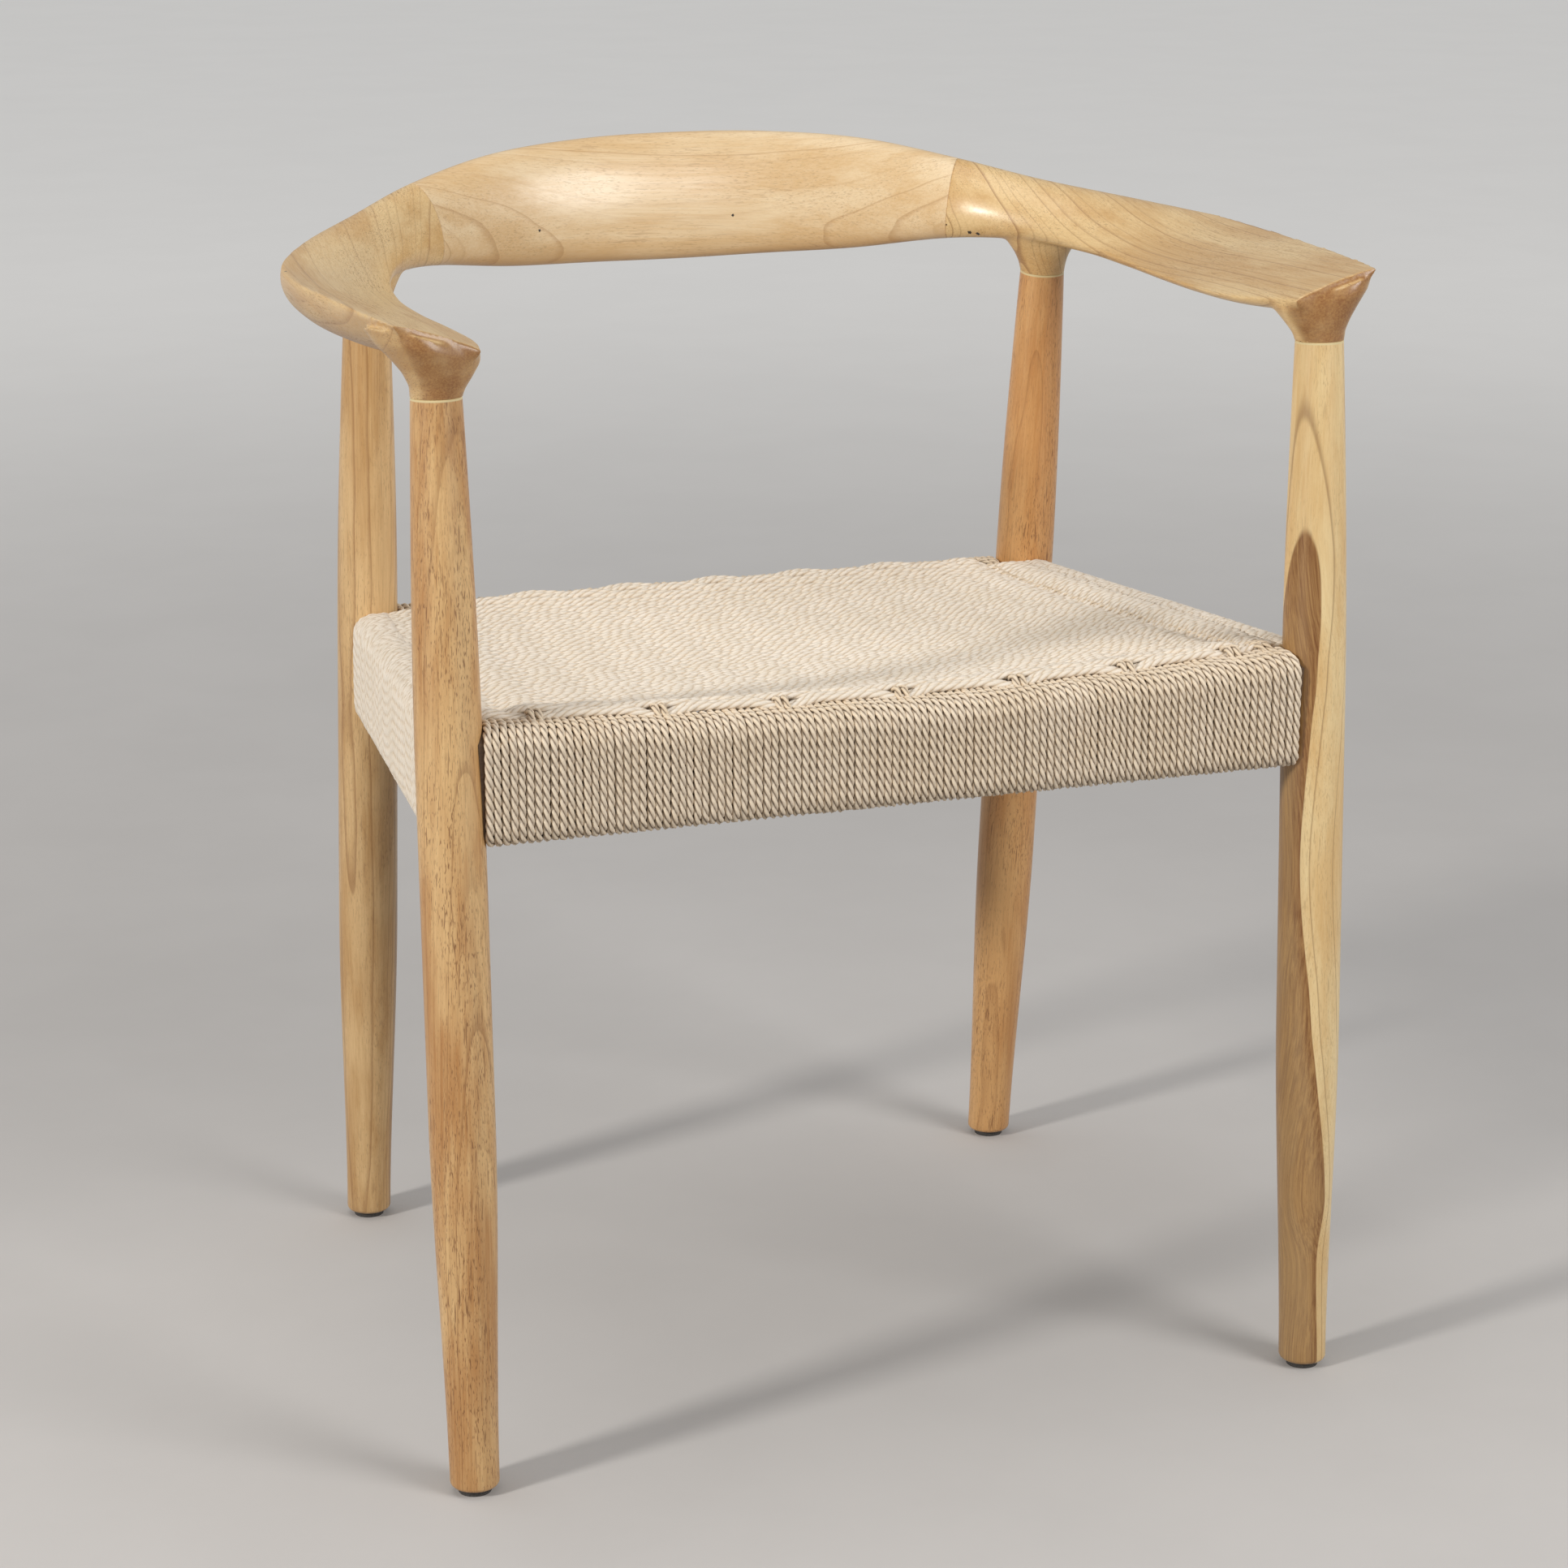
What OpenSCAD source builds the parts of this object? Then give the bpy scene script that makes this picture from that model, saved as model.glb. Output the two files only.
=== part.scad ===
// Round-backed armchair with a seat woven from paper cord. Millimetres.
// The chair stands on z = 0, faces -Y and is the same on both sides of x = 0.

/* [Legs] */
// Distance between the front leg axes
front_spacing = 550; // [510:1:600]
// Distance between the rear leg axes
rear_spacing = 468; // [430:1:500]
// Distance from the floor to the joint ring of a front leg
front_ring_z = 659; // [640:1:690]
// Distance from the floor to the joint ring of a rear leg
rear_ring_z = 650; // [630:1:680]
// Front foot, in front of the chair's middle
front_foot_y = 230; // [215:1:245]
// Rear foot, behind the chair's middle
rear_foot_y = 204; // [190:1:225]
// Lean of a front leg, how far its ring stands behind its foot
front_lean = 37; // [20:1:55]
// Lean of a rear leg, how far its ring stands in front of its foot
rear_lean = 65; // [45:1:80]
// Diameter of a leg at its joint ring
ring_d = 29.6; // [27:0.2:32]
// Diameter of a leg where it is thickest
belly_d = 39.4; // [36:0.2:42]
// Diameter of a leg at the floor
foot_d = 29.8; // [26:0.2:32]
// Height of the thickest place of a leg
belly_z = 400; // [360:1:440]
// Rounding of a leg's lower edge
foot_round = 3; // [1:0.5:4]

/* [Leg tenons] */
// Diameter of the round tenon on a leg
tenon_d = 18; // [14:0.5:20]
// Length of the round tenon on a leg
tenon_len = 20; // [14:0.5:21]
// Radial play between a tenon and its socket
tenon_play = 0.1; // [0.05:0.05:0.3]

/* [Glides] */
// Diameter of a glide
glide_d = 20; // [16:0.5:24]
// Height of a glide
glide_h = 4; // [3:0.5:6]
// Diameter of a glide's nail
glide_nail_d = 3; // [2:0.5:4]
// Length of a glide's nail
glide_nail_len = 16; // [10:1:24]

/* [Top rail] */
// How far the back's middle stands behind the rear leg rings
back_bow = 95; // [80:1:110]
// Height of the back's upper edge above the rear leg rings
back_rise = 90.5; // [80:0.5:96]
// Height of the back's lower edge above the rear leg rings
back_drop = 8; // [2:0.5:14]
// Thickness of the back
back_thick = 32; // [28:0.5:36]
// How far an arm blade reaches outside the line of the leg rings
blade_out = 64; // [56:0.5:72]
// Height of an arm's outer edge above the leg rings
blade_rise = 45; // [42:0.5:50]
// Thickness of an arm blade
blade_thick = 21; // [18:0.5:24]
// How far an arm's tip stands in front of its leg ring's face
tip_reach = 2; // [0:0.5:6]
// Width of an arm's front edge
tip_w = 52; // [46:1:58]
// Height in which a front leg's ring widens into the arm
front_collar_h = 30; // [27:1:33]
// Height in which a rear leg's ring widens into the arm
rear_collar_h = 25; // [22:1:28]

/* [Splices] */
// Diameter of a dowel between back and arm
dowel_d = 10; // [8:0.5:12]
// Length of a dowel
dowel_len = 50; // [36:1:56]
// Distance between the two dowels of a splice
dowel_gap = 20; // [16:0.5:24]
// Play between a dowel and its hole, on the radius
dowel_play = 0.1; // [0.05:0.05:0.2]

/* [Seat rails] */
// Height of the cord's upper face over the front rail, at its ends
seat_front_z = 471; // [450:1:480]
// Height of the cord's upper face over the rear rail
seat_rear_z = 446.5; // [430:0.5:455]
// Height of the front rail with its cord
front_rail_h = 73.5; // [64:0.5:80]
// Height of the rear rail with its cord
rear_rail_h = 69; // [60:1:78]
// Height of a side rail with its cord, at its front end
side_front_h = 77; // [68:1:84]
// Height of a side rail with its cord, at its rear end
side_rear_h = 73; // [64:1:80]
// Hollow in the front rail's upper edge
front_dip = 9; // [4:0.5:14]
// Thickness of the front and rear rail, wood alone
cross_rail_w = 26; // [22:0.5:28]
// Thickness of a side rail, wood alone
side_rail_w = 22; // [18:0.5:24]
// Outward offset of a side rail's outer cord face from the line of the legs
side_out = 12.5; // [10:0.5:15]
// Length of a rail tenon in its leg
rail_tenon_len = 11; // [8:0.5:12]
// Thickness of a rail tenon
rail_tenon_w = 10; // [8:0.5:12]
// Height of a rail tenon
rail_tenon_h = 40; // [30:1:46]
// Play round a rail tenon and at a rail's shoulder
rail_play = 0.2; // [0.1:0.05:0.4]

/* [Cord] */
// Diameter of the paper cord
cord_d = 4.4; // [3.6:0.1:4.8]
// Turns of cord on the front rail
front_turns = 108; // [90:1:112]
// Turns of cord on the rear rail
rear_turns = 90; // [76:1:96]
// Depth of the groove between two turns
groove = 0.9; // [0.5:0.1:1.2]
// How far the turns on the front rail spread at its ends, on their front face
front_splay = 3.5; // [0:0.5:5]
// Radius of a wrapped rail's long edges
wrap_round = 11; // [8:0.5:12]
// Thickness of the woven panel
weave_t = 10; // [8:0.5:12]
// Sag of the woven panel in its middle
weave_sag = 12; // [6:0.5:18]

/* [Cord nails] */
// Nails on the front rail and on the rear rail
cross_nails = 14; // [8:1:18]
// Nails on each side rail
side_nails = 18; // [10:1:24]
// Diameter of a cord nail
nail_d = 2; // [1.6:0.1:2.4]
// Length of a cord nail's shank in the wood
nail_len = 12; // [8:0.5:14]
// Length of a cord nail's bent leg
nail_leg = 7; // [5:0.5:8]

/* [Hidden] */
wood = "burlywood";
dark_wood = "peru";
cord_color = "wheat";
steel = "silver";
plastic = "dimgray";
eps = 0.01;

// Leg axes: foot and ring of the right-hand legs
front_x = front_spacing / 2;
rear_x = rear_spacing / 2;
front_ring_y = front_lean - front_foot_y;
rear_ring_y = rear_foot_y - rear_lean;
front_ring = [front_x, front_ring_y, front_ring_z];
rear_ring = [rear_x, rear_ring_y, rear_ring_z];
front_tilt = atan(front_lean / front_ring_z);
rear_tilt = atan(rear_lean / rear_ring_z);
function front_axis_y(z) = front_lean * z / front_ring_z - front_foot_y;
function rear_axis_y(z) = rear_foot_y - rear_lean * z / rear_ring_z;

// Leg outline: a long belly between a taper to the foot and a rounder taper to the ring
leg_face = belly_d / 2;
belly_low = 0.58 * belly_z;
belly_high = 1.08 * belly_z;
function smooth(t) = t * t * (3 - 2 * t);
function leg_r(h, ring_h) =
    h < belly_low ? (foot_d + (belly_d - foot_d) * smooth(h / belly_low)) / 2
    : h < belly_high ? belly_d / 2
    : (ring_d + (belly_d - ring_d) * sin(90 * (ring_h - h) / (ring_h - belly_high))) / 2;

// Top rail: one row per station, from the middle of the back (row 0) to the arm's tip (last row).
// A row holds the upper outer edge, the lower inner edge, the fullness of the inner and outer face,
// the sharpness of the upper edge inside, how far the outer face is fuller above, and its sharpness.
function ring_line_x(y) =
    rear_x + (front_x - rear_x) * (rear_ring_y - y) / (rear_ring_y - front_ring_y);
function ring_line_z(y) =
    rear_ring_z + (front_ring_z - rear_ring_z) * (rear_ring_y - y) / (rear_ring_y - front_ring_y);
function back_row(top, low, lean) = [
    rear_x * top[0], rear_ring_y + back_bow * top[1], rear_ring_z + back_rise * top[2],
    rear_x * low[0], rear_ring_y + back_bow * low[1],
    rear_ring_z + back_drop + (back_rise - back_drop) * low[2],
    back_thick * 0.45, back_thick * 0.55, 0, lean, 0];
function arm_row(top, low, inner, outer, crease, lean, crease_out) =
    let (yt = rear_ring_y + (front_ring_y - rear_ring_y) * top[0],
         yl = rear_ring_y + (front_ring_y - rear_ring_y) * low[0])
    [ring_line_x(yt) + blade_out * top[1], yt, ring_line_z(yt) + blade_rise * top[2],
     ring_line_x(yl) + blade_out * low[1], yl, ring_line_z(yl) + blade_rise * low[2],
     blade_thick * inner, blade_thick * outer, crease, lean, crease_out];
tip_y = front_ring_y - ring_d / 2 - tip_reach;
tip_row = [
    front_x + tip_w * 0.55, tip_y, front_ring_z + blade_rise,
    front_x - tip_w * 0.45, tip_y + blade_thick / 7, front_ring_z + blade_rise * 0.6,
    blade_thick * 0.1, blade_thick * 0.6, 1, -0.2, 1];
STATIONS = [
    back_row([0, 1, 1], [0, 0.81, 0], 0),
    back_row([0.28, 0.96, 0.985], [0.255, 0.79, 0.01], 0),
    back_row([0.56, 0.79, 0.925], [0.52, 0.66, 0.04], 0),
    back_row([0.82, 0.52, 0.78], [0.76, 0.36, 0.14], 0.1),
    arm_row([-0.02, 0.14, 1.29], [0.04, -0.33, 0.55], 0.62, 0.9, 0.15, 0.25, 0),
    arm_row([0.14, 0.69, 1.13], [0.19, -0.13, 0.52], 0.43, 0.9, 0.5, 0.35, 0),
    arm_row([0.32, 1, 1.04], [0.35, -0.12, 0.46], 0.24, 0.95, 0.8, 0.4, 0),
    arm_row([0.5, 0.98, 1], [0.51, -0.23, 0.44], 0.14, 0.97, 1, 0.4, 0),
    arm_row([0.68, 0.82, 1], [0.68, -0.38, 0.45], 0.1, 0.96, 1, 0.4, 0),
    arm_row([0.87, 0.63, 1], [0.85, -0.47, 0.48], 0.1, 0.85, 1, 0.3, 0.3),
    tip_row
];
seam = 3;
tip = len(STATIONS) - 1;
MIRROR = [-1, 1, 1, -1, 1, 1, 1, 1, 1, 1, 1];
function row(i) =
    i < 0 ? [for (k = [0 : 10]) row(-i)[k] * MIRROR[k]]
    : i > tip ? 2 * row(tip) - row(2 * tip - i)
    : STATIONS[i];
// A smooth row at any place s along the rail
function blend(a, b, c, d, t) =
    0.5 * (2 * b + (c - a) * t + (2 * a - 5 * b + 4 * c - d) * t * t + (3 * b - a - 3 * c + d) * t * t * t);
function rail_row(s) =
    let (i = floor(s)) blend(row(i - 1), row(i), row(i + 1), row(i + 2), s - i);
function upper_edge(r) = [r[0], r[1], r[2]];
function lower_edge(r) = [r[3], r[4], r[5]];
function rail_mid(s) = let (r = rail_row(s)) (upper_edge(r) + lower_edge(r)) / 2;
function unit(v) = v / norm(v);
function rail_way(s) = unit(rail_mid(s + 0.02) - rail_mid(s - 0.02));
function rail_chord(s) = let (r = rail_row(s)) unit(lower_edge(r) - upper_edge(r));
face_steps = 9; // points across each face of the rail
// The outline of the rail at s: down the inner face, then up the outer face
function rail_section(s) =
    let (r = rail_row(s), top = upper_edge(r), way = lower_edge(r) - top,
         normal = unit(cross(unit(way), rail_way(s))))
    concat(
        [for (k = [0 : face_steps])
            let (a = 180 * k / face_steps, t = (1 - cos(a)) / 2)
            top + way * t + normal * r[6] * pow(sin(a), 1 + r[8] * (1 - t))],
        [for (k = [face_steps - 1 : -1 : 1])
            let (a = 180 * k / face_steps, t = (1 - cos(a)) / 2)
            top + way * t
                - normal * r[7] * (1 + r[9] * cos(a)) * pow(sin(a), 1 + r[10] * (1 - t))]);

// A closed skin over rings of points, all with the same count and turning the same way round the
// line that they follow, with its ends closed by fans
module skin(rings) {
    n = len(rings[0]);
    m = len(rings);
    last = n * (m - 1);
    points = concat([for (ring = rings) each ring], [middle(rings[0]), middle(rings[m - 1])]);
    sides = [for (i = [0 : m - 2], k = [0 : n - 1])
        let (a = i * n + k, b = i * n + (k + 1) % n) each [[a, b + n, b], [a, a + n, b + n]]];
    caps = [for (k = [0 : n - 1])
        each [[n * m, k, (k + 1) % n], [n * m + 1, last + (k + 1) % n, last + k]]];
    polyhedron(points = points, faces = concat(sides, caps));
}
function middle(ring) = [for (k = [0 : 2]) mean([for (p = ring) p[k]])];
function mean(v) = v * [for (x = v) 1] / len(v);

module rail_piece(from, to, steps) {
    skin([for (i = [0 : steps]) rail_section(from + (to - from) * i / steps)]);
}

// Collars: outlines stacked above a leg's ring, each [share of the height, left, right, front, back,
// squareness]. The four reaches count in radii of the ring and are turned with the arm; a squareness
// of 2 is an ellipse and more is squarer.
FRONT_COLLAR = [[0, -1, 1, -1, 1, 2], [0.2, -1.12, 1.05, -1.08, 0.97, 2.1],
    [0.4, -1.34, 1.26, -1.2, 1.14, 2.3], [0.6, -1.55, 1.57, -1.28, 1.55, 2.6],
    [0.8, -1.76, 1.93, -1.36, 2.15, 2.9], [1, -1.95, 2.15, -1.25, 2.6, 3]];
REAR_COLLAR = [[0, -1, 1, -1, 1, 2], [0.24, -1.12, 1.05, -1.03, 1.02, 2],
    [0.48, -1.35, 1.15, -1.08, 1.08, 2], [0.72, -1.7, 1.35, -1.15, 1.15, 2],
    [1, -2.1, 1.6, -1.25, 1.3, 2]];
collar_points = 28;
blade_slope = 0.33; // rise of the arm blade outwards over the front leg
front_turn = -20; // way of the arm over the front leg, seen from above
rear_turn = -40; // and over the rear leg
function rounded(x, squareness) = sign(x) * pow(abs(x), 2 / squareness);
function collar_ring(row, height, slope) =
    let (cx = (row[1] + row[2]) / 2, cy = (row[3] + row[4]) / 2,
         ax = (row[2] - row[1]) / 2, ay = (row[4] - row[3]) / 2)
    [for (k = [0 : collar_points - 1])
        let (a = 360 * k / collar_points, x = ring_d / 2 * (cx + ax * rounded(cos(a), row[5])))
        [x, ring_d / 2 * (cy + ay * rounded(sin(a), row[5])), row[0] * (height + slope * x)]];
module collar(rows, height, slope) {
    skin([for (row = rows) collar_ring(row, height, slope)]);
}
module at_front_ring() {
    translate(front_ring) rotate([-front_tilt, 0, 0]) children();
}
module at_rear_ring() {
    translate(rear_ring) rotate([rear_tilt, 0, 0]) children();
}
module socket() {
    translate([0, 0, -1]) cylinder(d = tenon_d + 2 * tenon_play, h = tenon_len + 1.5, $fn = 48);
}

// Places something at the splice between back and arm, its z along the rail
module at_splice() {
    way = rail_way(seam);
    translate(rail_mid(seam)) rotate([0, acos(way[2]), atan2(way[1], way[0])]) children();
}
module dowel_pair(play) {
    chord = rail_chord(seam);
    for (side = [-1, 1])
        translate(chord * side * dowel_gap / 2) at_splice()
            cylinder(r = dowel_d / 2 + play, h = dowel_len + 2 * play, center = true, $fn = 40);
}

module right_arm() {
    color(wood) difference() {
        union() {
            rail_piece(seam, tip, 36);
            at_front_ring() rotate(front_turn) collar(FRONT_COLLAR, front_collar_h, blade_slope);
            at_rear_ring() rotate(rear_turn) collar(REAR_COLLAR, rear_collar_h, 0);
        }
        at_front_ring() socket();
        at_rear_ring() socket();
        dowel_pair(dowel_play);
    }
}

module back_rest() {
    color(wood) difference() {
        rail_piece(-seam, seam, 30);
        dowel_pair(dowel_play);
        mirror([1, 0, 0]) dowel_pair(dowel_play);
    }
}

module splice_dowels() {
    color(dark_wood) dowel_pair(0);
}

// A turned leg about its own leaning axis, to be cut level above its glide
foot_reach = 30; // length turned on past the foot
outline_steps = 24;
leg_sides = 72;
module leg_body(ring_h) {
    outline = [for (i = [1 : outline_steps])
        let (h = ring_h * i / outline_steps) [leg_r(h, ring_h), h]];
    rotate_extrude($fn = leg_sides)
        polygon(concat([[0, -foot_reach], [foot_d / 2, -foot_reach], [foot_d / 2, 0]], outline,
            [[tenon_d / 2, ring_h], [tenon_d / 2, ring_h + tenon_len], [0, ring_h + tenon_len]]));
}
// What is taken off a foot: all below the glide's top, the sharp edge there and the nail's hole
module foot_cut() {
    edge_r = foot_round * 1.04; // a little larger, so that it crosses the leg and doesn't graze it
    translate([0, 0, glide_h - 2 * foot_reach]) cylinder(r = foot_d, h = 2 * foot_reach);
    translate([0, 0, glide_h]) rotate_extrude($fn = leg_sides)
        translate([foot_d / 2 - foot_round, 0]) difference() {
            translate([0, -eps]) square([2 * foot_round, foot_round]);
            translate([0, foot_round]) circle(r = edge_r, $fn = 48);
        }
    translate([0, 0, glide_h - 1])
        cylinder(d = glide_nail_d + 2 * nail_play, h = glide_nail_len + 1.5, $fn = 24);
}
module at_front_foot() {
    translate([front_x, -front_foot_y, 0]) rotate([-front_tilt, 0, 0]) children();
}
module at_rear_foot() {
    translate([rear_x, rear_foot_y, 0]) rotate([rear_tilt, 0, 0]) children();
}

// Levels of the rails' middles, and the places where their middle lines meet the leg axes
nail_play = 0.05;
wrap_play = 0.2; // between a rail and the cord round it, and between a wrap and the weave
leg_gap = 0.3; // between cord and leg
front_mid_z = seat_front_z - front_rail_h / 2;
rear_mid_z = seat_rear_z - rear_rail_h / 2;
front_mid_y = front_axis_y(front_mid_z);
rear_mid_y = rear_axis_y(rear_mid_z);
side_rise = 1.5; // of the side rails' cord above the rear rail's
side_front_z = seat_front_z - side_front_h / 2;
side_rear_z = seat_rear_z + side_rise - side_rear_h / 2;
side_front = [front_x, front_axis_y(side_front_z), side_front_z];
side_rear = [rear_x, rear_axis_y(side_rear_z), side_rear_z];
side_line = side_front - side_rear;
side_len = norm(side_line);
side_plan_len = norm([side_line[0], side_line[1]]);
side_way = [side_line[0], side_line[1]] / side_plan_len; // from rear to front, seen from above
side_normal = [-side_way[1], side_way[0]]; // outwards on the right-hand side
side_mid = side_out - cord_d - side_rail_w / 2; // of the wood, outside the line of the legs
module in_side_frame() {
    translate(side_rear)
        rotate([0, -asin(side_line[2] / side_len), atan2(side_line[1], side_line[0])]) children();
}

// An eight-cornered outline round a rail, in its own width v and height z, with cut corners.
// The last two numbers are the cuts at the upper corners, at v0 and at v1.
function rail_outline(v0, v1, z0, z1, cut, cut_v0, cut_v1) = [
    [v1, z0 + cut], [v1, z1 - cut_v1], [v1 - cut_v1, z1], [v0 + cut_v0, z1],
    [v0, z1 - cut_v0], [v0, z0 + cut], [v0 + cut, z0], [v1 - cut, z0]];
// The same outline with each face moved out by g
function grown(outline, g) =
    let (c = (outline[0] + outline[4]) / 2, e = g * tan(22.5))
    [for (k = [0 : 7])
        let (p = outline[k], along_z = k % 4 < 2 ? g : e, along_v = k % 4 < 2 ? e : g)
        [p[0] + sign(p[0] - c[0]) * along_z, p[1] + sign(p[1] - c[1]) * along_v]];
wood_cut = 0.6 * (wrap_round - cord_d);
outer_cut = wood_cut + 2; // the upper outer edges are rounder

// Where the cord ends on the cross rails, beside the legs
front_end = front_x - leg_face - leg_gap;
rear_end = rear_x - leg_face - leg_gap;

// Outlines of the wood: cross rails run along X, the front one hangs in its middle
function cross_outline(x, mid_z, height, dip, half, cut_v0, cut_v1) =
    rail_outline(-cross_rail_w / 2, cross_rail_w / 2, mid_z - height / 2 + cord_d,
        mid_z + height / 2 - cord_d - dip * (1 - pow(x / half, 2)), wood_cut, cut_v0, cut_v1);
function front_outline(x) =
    cross_outline(x, front_mid_z, front_rail_h, front_dip, front_end, outer_cut, wood_cut);
function rear_outline(x) =
    cross_outline(x, rear_mid_z, rear_rail_h, 0, rear_end, wood_cut, outer_cut);
function cross_ring(x, y, outline) = [for (p = outline) [x, y + p[0], p[1]]];
// Side rails run from rear to front and grow in height
function side_outline(along) =
    let (t = along / side_plan_len, z = side_rear_z + (side_front_z - side_rear_z) * t,
         h = side_rear_h + (side_front_h - side_rear_h) * t)
    rail_outline(side_mid - side_rail_w / 2, side_mid + side_rail_w / 2,
        z - h / 2 + cord_d, z + h / 2 - cord_d, wood_cut, wood_cut, outer_cut);
function side_point(along, v, z) =
    let (q = [side_rear[0], side_rear[1]] + side_way * along + side_normal * v) [q[0], q[1], z];
// Where along a side rail the distance v from its line comes to the depth y
function side_along(y, v) = (y - side_rear[1] - side_normal[1] * v) / side_way[1];
function side_ring(along, outline) = [for (p = outline) side_point(along, p[0], p[1])];

// Tenons of the rails and, with some play, their mortises in the legs
tenon_root = 6; // how far a tenon starts inside its rail
module tenon_box(play) {
    translate([leg_face - rail_tenon_len - play, -rail_tenon_w / 2 - play, -rail_tenon_h / 2 - play])
        cube([rail_tenon_len + tenon_root + play, rail_tenon_w + 2 * play, rail_tenon_h + 2 * play]);
}
module front_tenon(play) {
    translate([front_x, front_mid_y, front_mid_z]) rotate(180) tenon_box(play);
}
module rear_tenon(play) {
    translate([rear_x, rear_mid_y, rear_mid_z]) rotate(180) tenon_box(play);
}
module side_tenons(play) {
    in_side_frame() {
        tenon_box(play);
        translate([side_len, 0, 0]) rotate(180) tenon_box(play);
    }
}

module right_front_leg() {
    color(wood) difference() {
        at_front_foot() leg_body(norm([front_lean, front_ring_z]));
        translate([front_x, front_axis_y(glide_h), 0]) foot_cut();
        front_tenon(rail_play);
        side_tenons(rail_play);
    }
}
module right_rear_leg() {
    color(wood) difference() {
        at_rear_foot() leg_body(norm([rear_lean, rear_ring_z]));
        translate([rear_x, rear_axis_y(glide_h), 0]) foot_cut();
        rear_tenon(rail_play);
        side_tenons(rail_play);
    }
}
// The space that a leg takes from the rails' ends
module leg_space() {
    translate([0, 0, belly_low])
        cylinder(r = leg_face + rail_play, h = seat_front_z, $fn = leg_sides);
}

// Bent nails stand in a groove along the inner face of each rail, over which the cord is hooked
nail_rise = nail_d / 2 + 0.5; // of the bent leg's axis above the groove's floor
nail_groove = 2 * nail_d + 1;
nail_groove_h = nail_leg + 2 * nail_d + 2;
bed_margin = 10; // bare wood between a leg and the nailed stretch
cross_bed = 2 * rear_x - belly_d - 2 * bed_margin;
side_bed = side_len - belly_d - 2 * bed_margin;
module nail() {
    translate([0, nail_rise, 0]) {
        rotate([90, 0, 0]) cylinder(d = nail_d, h = nail_len + nail_rise, $fn = 24);
        sphere(d = nail_d, $fn = 24);
        cylinder(d = nail_d, h = nail_leg, $fn = 24);
    }
}
module nail_row(count, length) {
    for (k = [0 : count - 1])
        translate([(k - (count - 1) / 2) * length / count, 0, -nail_leg / 2]) children();
}
module nail_bed(count, length) {
    translate([-length / 2, 0, -nail_groove_h / 2]) cube([length, 2 * nail_groove, nail_groove_h]);
    nail_row(count, length) translate([0, 1, 0]) rotate([90, 0, 0])
        cylinder(d = nail_d + 2 * nail_play, h = nail_len + 1.5, $fn = 24);
}
module on_front_bed() {
    translate([0, front_mid_y + cross_rail_w / 2 - nail_groove, front_mid_z - front_dip / 2])
        children();
}
module on_rear_bed() {
    translate([0, rear_mid_y - cross_rail_w / 2 + nail_groove, rear_mid_z]) rotate(180) children();
}
module on_side_bed() {
    in_side_frame() translate([side_len / 2, side_mid - side_rail_w / 2 + nail_groove, 0])
        rotate(180) children();
}

cross_steps = 12;
module both_sides() {
    children();
    mirror([1, 0, 0]) children();
}
module front_rail() {
    color(dark_wood) {
        difference() {
            skin([for (i = [0 : cross_steps])
                let (x = front_x * (2 * i / cross_steps - 1))
                cross_ring(x, front_mid_y, front_outline(x))]);
            both_sides() at_front_foot() leg_space();
            on_front_bed() nail_bed(cross_nails, cross_bed);
        }
        both_sides() front_tenon(0);
    }
}
module rear_rail() {
    color(dark_wood) {
        difference() {
            skin([for (x = [-rear_x, rear_x]) cross_ring(x, rear_mid_y, rear_outline(x))]);
            both_sides() at_rear_foot() leg_space();
            on_rear_bed() nail_bed(cross_nails, cross_bed);
        }
        both_sides() rear_tenon(0);
    }
}
// The space that a cross rail takes from the corners of the side rails
module cross_space(mid_y) {
    depth = cross_rail_w + 2 * rail_play;
    translate([-2 * front_x, mid_y - depth / 2, 0]) cube([4 * front_x, depth, seat_front_z]);
}
module right_rail() {
    color(dark_wood) {
        difference() {
            skin([for (along = [0, side_plan_len]) side_ring(along, side_outline(along))]);
            at_front_foot() leg_space();
            at_rear_foot() leg_space();
            cross_space(front_mid_y);
            cross_space(rear_mid_y);
            on_side_bed() nail_bed(side_nails, side_bed);
        }
        side_tenons(0);
    }
}

// The depths between which the side rails' cord and the woven panel lie
weave_front = front_mid_y + cross_rail_w / 2 + cord_d + wrap_play;
weave_rear = rear_mid_y - cross_rail_w / 2 - cord_d - wrap_play;

// A sleeve: rings along its outside, then rings back along its bore
module sleeve(outside, bore) {
    rings = concat(outside, [for (i = [len(bore) - 1 : -1 : 0]) bore[i]]);
    n = len(rings[0]);
    m = len(rings);
    faces = [for (i = [0 : m - 1], k = [0 : n - 1])
        let (a = i * n + k, b = i * n + (k + 1) % n, c = (i + 1) % m * n + k,
             d = (i + 1) % m * n + (k + 1) % n) each [[a, d, b], [a, c, d]]];
    polyhedron(points = [for (ring = rings) each ring], faces = faces);
}
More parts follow.
